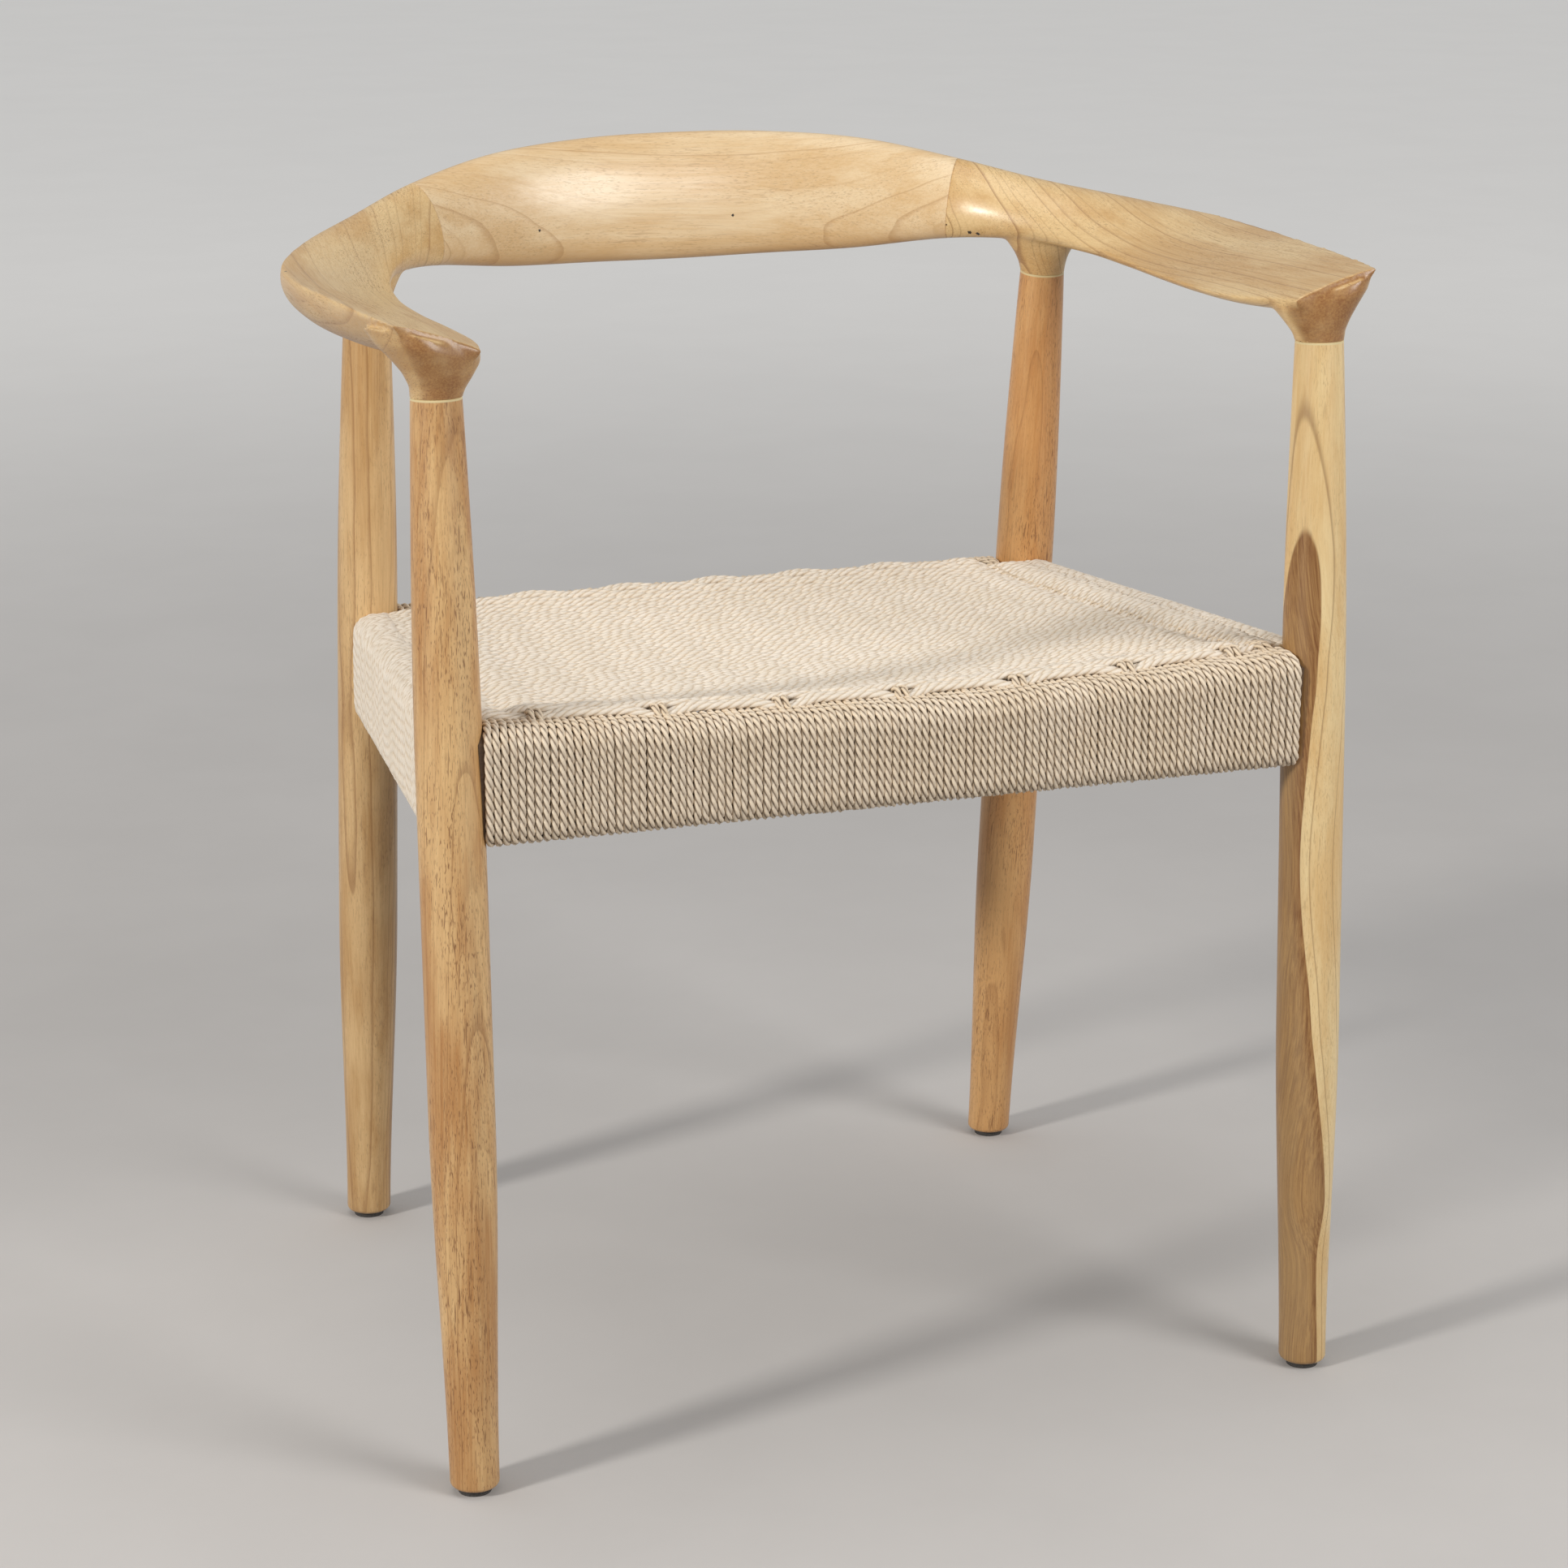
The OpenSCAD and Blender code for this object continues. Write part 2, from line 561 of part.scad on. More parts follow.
// Cord wound round a cross rail turn by turn: two rings a turn, one on its crest and one in the groove
module front_cord() {
    color(cord_color) sleeve(
        [for (i = [0 : 2 * front_turns])
            let (share = i / front_turns - 1, x = front_end * share,
                 lift = i % 2 == 1 ? cord_d : cord_d - groove,
                 ring = cross_ring(x, front_mid_y, grown(front_outline(x), lift)))
            [for (k = [0 : 7]) ring[k] + [k == 4 || k == 5 ? front_splay * share : 0, 0, 0]]],
        [for (i = [0 : cross_steps])
            let (x = front_end * (2 * i / cross_steps - 1))
            cross_ring(x, front_mid_y, grown(front_outline(x), wrap_play))]);
}
module rear_cord() {
    color(cord_color) sleeve(
        [for (i = [0 : 2 * rear_turns])
            let (x = rear_end * (i / rear_turns - 1), lift = i % 2 == 1 ? cord_d : cord_d - groove)
            cross_ring(x, rear_mid_y, grown(rear_outline(x), lift))],
        [for (x = [-rear_end, rear_end])
            cross_ring(x, rear_mid_y, grown(rear_outline(x), wrap_play))]);
}
// Cord over a side rail. Its ends lean with the legs and stay behind the cross rails' cord.
function side_end(at_front, lift) =
    let (flat = at_front ? side_plan_len - leg_face - leg_gap : leg_face + leg_gap)
    [for (k = [0 : 7])
        let (z = grown(side_outline(flat), lift)[k][1],
             v = grown(side_outline(flat), lift)[k][0],
             lean = at_front ? front_axis_y(z) - side_front[1] : rear_axis_y(z) - side_rear[1],
             at_leg = flat + lean * side_way[1],
             along = at_front ? min(at_leg, side_along(weave_front, v))
                              : max(at_leg, side_along(weave_rear, v)),
             p = grown(side_outline(along), lift)[k])
        side_point(along, v, p[1])];
module right_cord() {
    color(cord_color) sleeve([for (at_front = [false, true]) side_end(at_front, cord_d)],
        [for (at_front = [false, true]) side_end(at_front, wrap_play)]);
}

// The woven panel between the wraps: it hollows in its middle and meets the front wrap's hang
weave_columns = 14;
weave_rows = 14;
weave_drop = 3; // of its upper face below the wraps' upper faces
function weave_half(y) =
    let (v = side_mid - side_rail_w / 2 - cord_d - wrap_play)
    side_point(side_along(y, v), v, 0)[0];
function weave_z(s, t) =
    seat_front_z + (seat_rear_z - seat_front_z) * t - weave_drop
        - (1 - s * s) * (front_dip * (1 - t) + weave_sag * 4 * t * (1 - t));
module weave() {
    color(cord_color) skin([for (i = [0 : weave_rows])
        let (t = 1 - i / weave_rows, y = weave_front + (weave_rear - weave_front) * t)
        concat(
            [for (k = [0 : weave_columns])
                let (s = 2 * k / weave_columns - 1)
                [s * weave_half(y), y, weave_z(s, t) - weave_t]],
            [for (k = [weave_columns : -1 : 0])
                let (s = 2 * k / weave_columns - 1)
                [s * weave_half(y), y, weave_z(s, t)]])]);
}

module glide() {
    color(plastic) {
        cylinder(d = glide_d, h = glide_h, $fn = 48);
        cylinder(d = glide_nail_d, h = glide_h + glide_nail_len, $fn = 24);
    }
}
module front_glide() {
    translate([front_x, front_axis_y(glide_h), 0]) glide();
}
module rear_glide() {
    translate([rear_x, rear_axis_y(glide_h), 0]) glide();
}
module left() {
    mirror([1, 0, 0]) children();
}

back_rest();
right_arm();  // arm_right
left() right_arm();  // arm_left
splice_dowels();  // splice_dowels_right
left() splice_dowels();  // splice_dowels_left
right_front_leg();  // leg_front_right
left() right_front_leg();  // leg_front_left
right_rear_leg();  // leg_rear_right
left() right_rear_leg();  // leg_rear_left
front_rail();  // rail_front
rear_rail();  // rail_rear
right_rail();  // rail_right
left() right_rail();  // rail_left
color(steel) on_front_bed() nail_row(cross_nails, cross_bed) nail();  // cord_nails_front
color(steel) on_rear_bed() nail_row(cross_nails, cross_bed) nail();  // cord_nails_rear
color(steel) on_side_bed() nail_row(side_nails, side_bed) nail();  // cord_nails_right
color(steel) left() on_side_bed() nail_row(side_nails, side_bed) nail();  // cord_nails_left
front_cord();  // front_wrap
rear_cord();  // rear_wrap
right_cord();  // right_wrap
left() right_cord();  // left_wrap
weave();  // seat_weave
front_glide();  // glide_front_right
left() front_glide();  // glide_front_left
rear_glide();  // glide_rear_right
left() rear_glide();  // glide_rear_left
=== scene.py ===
import math
import bpy
import numpy as np
from mathutils import Euler, Matrix, Vector


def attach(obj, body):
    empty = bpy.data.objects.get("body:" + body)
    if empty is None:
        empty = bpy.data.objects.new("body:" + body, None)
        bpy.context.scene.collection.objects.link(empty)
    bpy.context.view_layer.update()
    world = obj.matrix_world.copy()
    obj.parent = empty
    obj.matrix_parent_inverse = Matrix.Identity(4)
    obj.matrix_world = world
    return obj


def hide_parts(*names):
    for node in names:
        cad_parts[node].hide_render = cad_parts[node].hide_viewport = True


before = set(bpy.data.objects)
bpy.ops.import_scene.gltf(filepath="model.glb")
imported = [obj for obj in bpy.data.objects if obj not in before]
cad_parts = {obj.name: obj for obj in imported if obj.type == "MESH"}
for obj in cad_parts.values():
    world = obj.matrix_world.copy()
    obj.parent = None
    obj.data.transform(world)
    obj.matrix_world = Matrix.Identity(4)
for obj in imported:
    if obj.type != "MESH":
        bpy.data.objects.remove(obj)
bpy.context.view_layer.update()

mm = 0.001  # the numbers below are millimetres, the meshes are metres
print("frame loaded:", len(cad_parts), "nodes")


# Small helpers

def pick(piece):
    bpy.ops.object.select_all(action='DESELECT')
    piece.select_set(True)
    bpy.context.view_layer.objects.active = piece


def setMode(mode):
    bpy.ops.object.mode_set(mode=mode)


def editAll(piece):
    pick(piece)
    setMode('EDIT')
    bpy.ops.mesh.select_all(action='SELECT')


def applyModifier(piece, kind, **settings):
    pick(piece)
    modifier = piece.modifiers.new(kind.title(), kind)
    for key, value in settings.items():
        setattr(modifier, key, value)
    bpy.ops.object.modifier_apply(modifier=modifier.name)


def linked(name, data):
    holder = bpy.data.objects.new(name, data)
    bpy.context.collection.objects.link(holder)
    return holder


def tidyNormals(piece):
    editAll(piece)
    bpy.ops.mesh.remove_doubles(threshold=0.00001)
    bpy.ops.mesh.normals_make_consistent(inside=False)
    setMode('OBJECT')


def smoothShade(piece, angle=35):
    pick(piece)
    bpy.ops.object.shade_smooth_by_angle(angle=math.radians(angle))


# Keeps the side of a plane that its normal points to, closes it and breaks the new edge
def cutFlat(piece, place, normal, chamfer=0.4, segments=1):
    editAll(piece)
    bpy.ops.mesh.bisect(plane_co=tuple(np.asarray(place) * mm), plane_no=tuple(normal),
                        use_fill=True, clear_inner=True, clear_outer=False)
    bpy.ops.mesh.bevel(offset=chamfer * mm, segments=segments, affect='EDGES')
    setMode('OBJECT')


def vertexRows(piece, key):
    values = np.zeros(len(piece.data.vertices) * 3)
    piece.data.vertices.foreach_get(key, values)
    return values.reshape(-1, 3)


def writeLayer(mesh, label, values):
    mesh.attributes.new(label, 'FLOAT', 'POINT').data.foreach_set("value", values)


def finishWith(piece, material):
    piece.data.materials.clear()
    piece.data.materials.append(material)


def standFor(piece, node):
    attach(piece, "root")
    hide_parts(node)


def ease(share):
    share = np.clip(share, 0, 1)
    return share * share * (3 - 2 * share)


# From 0 at begin to 1 where the reach ends; a negative reach runs the other way
def fade(value, begin, reach):
    return ease((value - begin) / reach)


def unit(rows):
    return rows / np.linalg.norm(rows, axis=-1, keepdims=True)


def travelled(points):
    return np.concatenate([[0], np.cumsum(np.linalg.norm(np.diff(points, axis=0), axis=1))])


# The chair's own lines, as the frame has them

chair = {
    "frontX": 275, "rearX": 234, "frontRingZ": 659, "rearRingZ": 650,
    "frontFootY": 230, "rearFootY": 204, "frontLean": 37, "rearLean": 65,
    "ringDiameter": 29.6, "bellyDiameter": 39.4, "footDiameter": 29.8, "bellyHeight": 400,
    "footRound": 3, "glideHeight": 4,
}
frontRing = np.array([chair["frontX"], chair["frontLean"] - chair["frontFootY"], chair["frontRingZ"]], float)
rearRing = np.array([chair["rearX"], chair["rearFootY"] - chair["rearLean"], chair["rearRingZ"]], float)
frontTilt = math.atan(chair["frontLean"] / chair["frontRingZ"])
rearTilt = math.atan(chair["rearLean"] / chair["rearRingZ"])


def frontAxisY(z):
    return chair["frontLean"] * z / chair["frontRingZ"] - chair["frontFootY"]


def rearAxisY(z):
    return chair["rearFootY"] - chair["rearLean"] * z / chair["rearRingZ"]


# Materials

def paint(code):
    parts = [int(code[k:k + 2], 16) / 255 for k in (1, 3, 5)]
    return tuple(p / 12.92 if p <= 0.04045 else ((p + 0.055) / 1.055) ** 2.4 for p in parts) + (1,)


# Makes and links the nodes of one tree, which stand in rows in the order of their making
class Bench:
    def __init__(self, tree):
        self.tree = tree

    def node(self, kind, **settings):
        made = self.tree.nodes.new(kind)
        row, place = divmod(len(self.tree.nodes), 12)
        made.location = (220 * place, -320 * row)
        for key, value in settings.items():
            setattr(made, key, value)
        return made

    # each socket gets a link or a fixed value
    def feed(self, sockets, values):
        for key, value in values.items():
            if isinstance(value, bpy.types.NodeSocket):
                self.tree.links.new(value, sockets[key])
            else:
                sockets[key].default_value = value

    def calc(self, operation, *values, clamp=False):
        made = self.node('ShaderNodeMath', operation=operation, use_clamp=clamp)
        self.feed(made.inputs, dict(enumerate(values)))
        return made.outputs[0]

    def times(self, first, second, clamp=False):
        return self.calc('MULTIPLY', first, second, clamp=clamp)

    def vector(self, operation, *values):
        made = self.node('ShaderNodeVectorMath', operation=operation)
        self.feed(made.inputs, dict(enumerate(values)))
        return made.outputs["Value" if operation in ('LENGTH', 'DISTANCE') else "Vector"]

    def noise(self, place, scale, detail=2.0, roughness=0.5):
        made = self.node('ShaderNodeTexNoise')
        self.feed(made.inputs, {"Vector": self.vector('MULTIPLY', place, scale), "Scale": 1,
                                "Detail": detail, "Roughness": roughness})
        return made.outputs

    def ramp(self, value, fromLow, fromHigh, toLow=0.0, toHigh=1.0, kind='SMOOTHSTEP'):
        made = self.node('ShaderNodeMapRange', interpolation_type=kind)
        self.feed(made.inputs, {"Value": value, "From Min": fromLow, "From Max": fromHigh,
                                "To Min": toLow, "To Max": toHigh})
        return made.outputs[0]

    def mix(self, factor, first, second):
        made = self.node('ShaderNodeMix', data_type='RGBA')
        self.feed(made.inputs, {0: factor, 6: first, 7: second})
        return made.outputs[2]

    # the object's own coordinates, in millimetres unless the scale says otherwise
    def place(self, scale=1000, turn=(0, 0, 0), shift=(0, 0, 0)):
        made = self.node('ShaderNodeMapping')
        self.feed(made.inputs, {"Vector": self.node('ShaderNodeTexCoord').outputs["Object"],
                                "Scale": (scale,) * 3, "Rotation": [math.radians(a) for a in turn],
                                "Location": shift})
        return made.outputs[0]

    def layer(self, label):
        return self.node('ShaderNodeAttribute', attribute_name=label).outputs["Fac"]

    def group(self, tree, values):
        made = self.node('ShaderNodeGroup', node_tree=tree)
        self.feed(made.inputs, values)
        return made.outputs

    # gives the shader a figure's colour, roughness and, as a fine bump, height
    def dress(self, figure, strength, others):
        bump = self.node('ShaderNodeBump')
        self.feed(bump.inputs, {"Strength": strength, "Distance": 0.0002, "Height": figure["Height"]})
        self.feed(self.tree.nodes["Principled BSDF"].inputs,
                  {"Base Color": figure["Color"], "Roughness": figure["Roughness"],
                   "Normal": bump.outputs[0], **others})


def newMaterial(name):
    material = bpy.data.materials.new(name)
    material.use_nodes = True
    return material, Bench(material.node_tree)


# A node group that gives a colour, a roughness and a height; its inputs come by kind
def newFigure(name, **inputs):
    tree = bpy.data.node_groups.new(name, 'ShaderNodeTree')
    for kind, labels in inputs.items():
        for label in labels:
            tree.interface.new_socket(label, in_out='INPUT', socket_type='NodeSocket' + kind)
    for label, kind in (("Color", "Color"), ("Roughness", "Float"), ("Height", "Float")):
        tree.interface.new_socket(label, in_out='OUTPUT', socket_type='NodeSocket' + kind)
    bench = Bench(tree)
    return bench, bench.node('NodeGroupInput').outputs, bench.node('NodeGroupOutput').inputs


# Wood: pale, honey, growth line and pore
woodTones = {
    "golden": ("#E4C590", "#C6995C", "#8C5A2C", "#80552D"),
    "tawny": ("#DFBB87", "#B98B52", "#8C5C2E", "#7A5029"),
    "back": ("#EAD1A9", "#D5AF7A", "#A6733E", "#8B5E34"),
    "honey": ("#E3BC84", "#B57F47", "#8A5828", "#7C5029"),
    "orange": ("#DFAE73", "#C0854A", "#8C5628", "#744522"),
    "blond": ("#EAD09C", "#D1A668", "#774819", "#82582F"),
    # inner: dark tones that paint shade on the hidden rails, seen only through the slits between cords
    "inner": ("#6B5034", "#4F3823", "#3A2817", "#2A1C10"),
}
fillerPaint, gluePaint = paint("#2E2016"), paint("#DFCC9B")


# Growth lines round a heart that lies beside the plank, with pores, fibres, broad tone, darker heartwood past
# a growth line and dark end grain, whose layer also carries painted shade on down-facing faces; its vector is
# in millimetres
def makeWoodFigure():
    bench, given, end = newFigure(
        "woodFigure", Vector=("Vector", "Spot one", "Spot two"), Color=("Pale", "Honey", "Line", "Pore"),
        Float=("End grain and shade", "Glue line", "Ring gap", "Wander", "Lines", "Line start", "Pores", "Tone",
               "Heart edge", "Heart depth", "Spot size"))
    place = given["Vector"]
    wander = bench.noise(place, (0.013, 0.013, 0.0032), detail=3, roughness=0.45)["Color"]
    swing = bench.vector('MULTIPLY', bench.vector('SUBTRACT', wander, (0.5, 0.5, 0.5)), given["Wander"])
    across = bench.vector('MULTIPLY', bench.vector('ADD', place, swing), (1, 1, 0))
    radius = bench.vector('LENGTH', across)
    turns = bench.calc('DIVIDE', radius, given["Ring gap"])
    # uneven years: the gap swells and shrinks with the radius
    years = bench.calc('ADD', turns, bench.times(bench.calc('SINE', bench.times(turns, 0.9)), 0.55))
    share = bench.calc('FRACT', years)
    rise = bench.calc('POWER', bench.ramp(share, given["Line start"], 0.95), 2.0)
    late = bench.times(rise, bench.ramp(share, 0.95, 0.98, 1.0, 0.0))
    chance = bench.node('ShaderNodeTexWhiteNoise', noise_dimensions='1D')
    bench.feed(chance.inputs, {"W": bench.calc('FLOOR', years)})
    ringTone = bench.ramp(chance.outputs["Value"], 0.1, 1, 0.1, 1.0)
    line = bench.times(bench.times(late, ringTone), given["Lines"], clamp=True)
    # heartwood is darkest just past its edge
    pastEdge = bench.calc('SUBTRACT', radius, given["Heart edge"])
    heart = bench.times(bench.ramp(pastEdge, -0.05, 0.35), bench.ramp(pastEdge, 0.8, 5.0, 1.0, 0.8))
    heartShare = bench.times(heart, given["Heart depth"], clamp=True)

    finePores = bench.noise(place, (1.7, 1.7, 0.24), detail=1.5)["Fac"]
    longPores = bench.noise(place, (1.0, 1.0, 0.055), detail=1.5)["Fac"]
    pores = bench.calc('MAXIMUM', bench.ramp(finePores, 0.56, 0.7), bench.ramp(longPores, 0.6, 0.71))
    poreField = bench.noise(place, (0.045, 0.045, 0.008), detail=3)["Fac"]
    pores = bench.times(pores, bench.ramp(poreField, 0.34, 0.62, 0.25, 1.0))
    pore = bench.times(pores, given["Pores"], clamp=True)

    fibre = bench.noise(place, (0.75, 0.75, 0.012), detail=4, roughness=0.65)["Fac"]
    patch = bench.noise(place, (0.034, 0.034, 0.0065), detail=3, roughness=0.6)["Fac"]
    fibreShare, patchShare = bench.ramp(fibre, 0.3, 0.7), bench.ramp(patch, 0.38, 0.62)
    blend = bench.calc('ADD', bench.times(fibreShare, 0.35), bench.times(patchShare, 0.65))
    base = bench.mix(bench.times(blend, given["Tone"], clamp=True), given["Pale"], given["Honey"])
    streaky = bench.mix(bench.times(fibreShare, 0.45), given["Line"], given["Honey"])
    lined = bench.mix(line, bench.mix(heartShare, base, streaky), given["Line"])
    # end grain and painted shade both turn the colour streaky and dark
    cross = bench.times(given["End grain and shade"], bench.ramp(patch, 0.36, 0.6, 0.7, 1.0))
    colour = bench.mix(pore, bench.mix(cross, lined, streaky), given["Pore"])
    # knots filled dark, with a ragged edge
    spots = []
    for label in ("Spot one", "Spot two"):
        away = bench.vector('DISTANCE', place, given[label])
        ragged = bench.calc('ADD', away, bench.times(finePores, 2.0))
        spots.append(bench.calc('LESS_THAN', bench.calc('SUBTRACT', ragged, 1.0), given["Spot size"]))
    colour = bench.mix(bench.calc('MAXIMUM', *spots), colour, fillerPaint)
    colour = bench.mix(given["Glue line"], colour, gluePaint)
    smoothness = bench.calc('ADD', bench.times(fibreShare, 0.07), 0.34)
    relief = bench.calc('ADD', pore, bench.times(line, 0.2))
    bench.feed(end, {"Color": colour, "Roughness": bench.calc('ADD', bench.times(pore, 0.22), smoothness),
                     "Height": bench.calc('SUBTRACT', bench.times(fibreShare, 0.25), relief)})
    return bench.tree


woodFigure = makeWoodFigure()


# Lets the growth lines' middle wander: heartPath gives (z, x, y) places of it, low to high, in
# millimetres, which a colour ramp carries as shares of its reach
def crookedHeart(bench, place, heartPath):
    low, high, reach = heartPath[0][0], heartPath[-1][0], 50.0
    apart = bench.node('ShaderNodeSeparateXYZ')
    bench.feed(apart.inputs, {0: place})
    path = bench.node('ShaderNodeValToRGB')
    bench.feed(path.inputs, {0: bench.ramp(apart.outputs["Z"], low, high, kind='LINEAR')})
    path.color_ramp.interpolation = 'CARDINAL'
    stops = path.color_ramp.elements
    while len(stops) < len(heartPath):
        stops.new(0.5)
    for stop, (z, x, y) in zip(stops, heartPath):
        stop.position = (z - low) / (high - low)
        stop.color = (0.5 + x / (2 * reach), 0.5 + y / (2 * reach), 0.5, 1)
    back = bench.vector('MULTIPLY_ADD', path.outputs["Color"], (-2 * reach,) * 3, (reach,) * 3)
    return bench.vector('ADD', place, back)


# turn: degrees that lay the grain along the pattern's z; heart: where the growth lines' middle lies
def woodMaterial(name, tone="golden", turn=(0, 0, 0), heart=(60, 45, 0), gap=5.0, wander=26.0,
                 lines=0.55, pores=0.5, toneShare=0.9, coat=0.25, heartEdge=1000, heartDepth=0.0,
                 lineStart=0.62, heartPath=(), spots=(), spotSize=0.7):
    material, bench = newMaterial(name)
    place = bench.place(turn=turn, shift=heart)
    laid = Euler([math.radians(a) for a in turn]).to_matrix()
    spotPlaces = [laid @ Vector(spot) + Vector(heart) for spot in spots]
    figure = bench.group(woodFigure, {
        "Vector": crookedHeart(bench, place, heartPath) if heartPath else place,
        "End grain and shade": bench.layer("endGrainAndShade"), "Glue line": bench.layer("glueLine"),
        "Ring gap": gap, "Wander": wander, "Lines": lines, "Line start": lineStart, "Pores": pores,
        "Tone": toneShare, "Heart edge": heartEdge, "Heart depth": heartDepth,
        "Spot size": spotSize if spots else 0.0, **dict(zip(("Spot one", "Spot two"), spotPlaces)),
        **dict(zip(("Pale", "Honey", "Line", "Pore"), map(paint, woodTones[tone])))})
    bench.dress(figure, 0.25, {"Coat Weight": coat, "Coat Roughness": 0.22})
    return material


# Legs, turned about their leaning axes

legTurning = {"sides": 96, "rows": 46, "reachBelow": 9, "ringChamfer": 0.5, "footSegments": 5,
              "glueLine": 1.0, "glueBlend": 0.5, "bellyLow": 0.58, "bellyHigh": 1.08}


def legRadius(h, ringHeight):
    belly, ring, foot = chair["bellyDiameter"], chair["ringDiameter"], chair["footDiameter"]
    low = legTurning["bellyLow"] * chair["bellyHeight"]
    high = legTurning["bellyHigh"] * chair["bellyHeight"]
    if h < low:
        return (foot + (belly - foot) * float(ease(max(h, 0) / low))) / 2
    if h < high:
        return belly / 2
    return (ring + (belly - ring) * math.sin(math.pi / 2 * (ringHeight - h) / (ringHeight - high))) / 2


def turnLeg(name, lean, ringZ, footX, footY, tilt):
    t = legTurning
    ringHeight, ringRadius = math.hypot(lean, ringZ), chair["ringDiameter"] / 2
    rows = [(-t["reachBelow"], chair["footDiameter"] / 2)]
    rows += [(ringHeight * k / t["rows"], legRadius(ringHeight * k / t["rows"], ringHeight))
             for k in range(t["rows"])]
    rows += [(ringHeight - t["glueLine"] - t["glueBlend"], ringRadius),
             (ringHeight - t["glueLine"], ringRadius), (ringHeight - t["ringChamfer"], ringRadius),
             (ringHeight, ringRadius - t["ringChamfer"])]
    bpy.ops.object.select_all(action='DESELECT')
    bpy.ops.mesh.primitive_circle_add(vertices=t["sides"], radius=rows[0][1] * mm, fill_type='NGON',
                                      location=(0, 0, rows[0][0] * mm))
    leg = bpy.context.object
    leg.name = leg.data.name = name
    bpy.ops.object.transform_apply(location=True, rotation=False, scale=False)
    editAll(leg)
    for (h0, r0), (h1, r1) in zip(rows, rows[1:]):
        bpy.ops.mesh.extrude_region_move(TRANSFORM_OT_translate={"value": (0, 0, (h1 - h0) * mm)})
        bpy.ops.transform.resize(value=(r1 / r0, r1 / r0, 1), center_override=(0, 0, h1 * mm))
    setMode('OBJECT')
    glueFrom = ringHeight - t["glueLine"] - t["glueBlend"] / 5
    writeLayer(leg.data, "glueLine", [float(v.co.z / mm > glueFrom) for v in leg.data.vertices])
    leg.data.transform(Matrix.Translation((footX * mm, footY * mm, 0)) @ Matrix.Rotation(tilt, 4, 'X'))
    tidyNormals(leg)
    # a level foot above the glide, with a rounded lower edge
    cutFlat(leg, (0, 0, chair["glideHeight"]), (0, 0, 1), chair["footRound"], t["footSegments"])
    smoothShade(leg)
    return leg


# the growth lines' middle beside the front right leg: height, distance from its axis, bearing in degrees
frontRightHeart = [
    (z, apart * math.cos(math.radians(bearing)), apart * math.sin(math.radians(bearing)))
    for z, apart, bearing in (
        (0, 28.7, 28), (60, 27.6, 20), (107, 25.9, 38), (198, 23.8, 6), (256, 23.1, -8), (316, 22.1, -20),
        (380, 21.3, -8), (423, 20.8, 6), (457, 20.8, 14), (482, 19.3, 29), (528, 17.5, 43), (618, 15.5, 33),
        (700, 14.7, 32))]
legPlans = {
    "legFrontLeft": ("leg_front_left", -1, dict(
        tone="honey", turn=(1.34, -0.7, 0), heart=(293.5, 180.4, 0), gap=3.9, lines=0.45, pores=0.85,
        wander=15, toneShare=1.0)),
    "legFrontRight": ("leg_front_right", 1, dict(
        tone="blond", turn=(math.degrees(frontTilt), 0, 0), heart=(-chair["frontX"], chair["frontFootY"], 0),
        gap=7.3, lines=0.55, pores=0.3, wander=1.5, toneShare=0.8, heartEdge=35.1, heartDepth=1.0,
        lineStart=0.86, heartPath=frontRightHeart, spots=((264.5, -203.5, 657.8),), spotSize=0.5)),
    # rear left leg: its darker heartwood side is deepened partly as painted shade from the seat
    "legRearLeft": ("leg_rear_left", -1, dict(
        tone="tawny", turn=(-3.2, 0, 0), heart=(260, -170, 700), gap=6.0, lines=0.55, pores=0.4, wander=30,
        heartEdge=45, heartDepth=0.6)),
    "legRearRight": ("leg_rear_right", 1, dict(
        tone="orange", turn=(-7.5, 0, 0), heart=(-180, -130, 150), gap=4.2, lines=0.35, pores=0.7,
        wander=34)),
}
for name, (node, side, look) in legPlans.items():
    if "Front" in name:
        leg = turnLeg(name, chair["frontLean"], chair["frontRingZ"], side * chair["frontX"],
                      -chair["frontFootY"], -frontTilt)
    else:
        leg = turnLeg(name, chair["rearLean"], chair["rearRingZ"], side * chair["rearX"],
                      chair["rearFootY"], rearTilt)
    finishWith(leg, woodMaterial(name + "Wood", **look))
    standFor(leg, node)
print("legs turned")


# Top rail: one row per station from the middle of the back to the arm's tip

topRail = {
    "backBow": 95, "backRise": 90.5, "backDrop": 8, "backThick": 32, "bladeOut": 64, "bladeRise": 45,
    "bladeThick": 21, "tipReach": 2, "tipWidth": 52, "frontCollar": 30, "rearCollar": 25,
    "bladeSlope": 0.33, "frontTurn": -20, "rearTurn": -40, "seam": 3, "wayStep": 0.02,
    "backInner": 0.45, "backOuter": 0.55,
}


def backRow(top, low, lean):
    t = topRail
    return [rearRing[0] * top[0], rearRing[1] + t["backBow"] * top[1], rearRing[2] + t["backRise"] * top[2],
            rearRing[0] * low[0], rearRing[1] + t["backBow"] * low[1],
            rearRing[2] + t["backDrop"] + (t["backRise"] - t["backDrop"]) * low[2],
            t["backThick"] * t["backInner"], t["backThick"] * t["backOuter"], 0, lean, 0]


def armRow(top, low, inner, outer, crease, lean, creaseOut):
    t = topRail
    high, down = (rearRing + (frontRing - rearRing) * share for share in (top[0], low[0]))
    return [high[0] + t["bladeOut"] * top[1], high[1], high[2] + t["bladeRise"] * top[2],
            down[0] + t["bladeOut"] * low[1], down[1], down[2] + t["bladeRise"] * low[2],
            t["bladeThick"] * inner, t["bladeThick"] * outer, crease, lean, creaseOut]


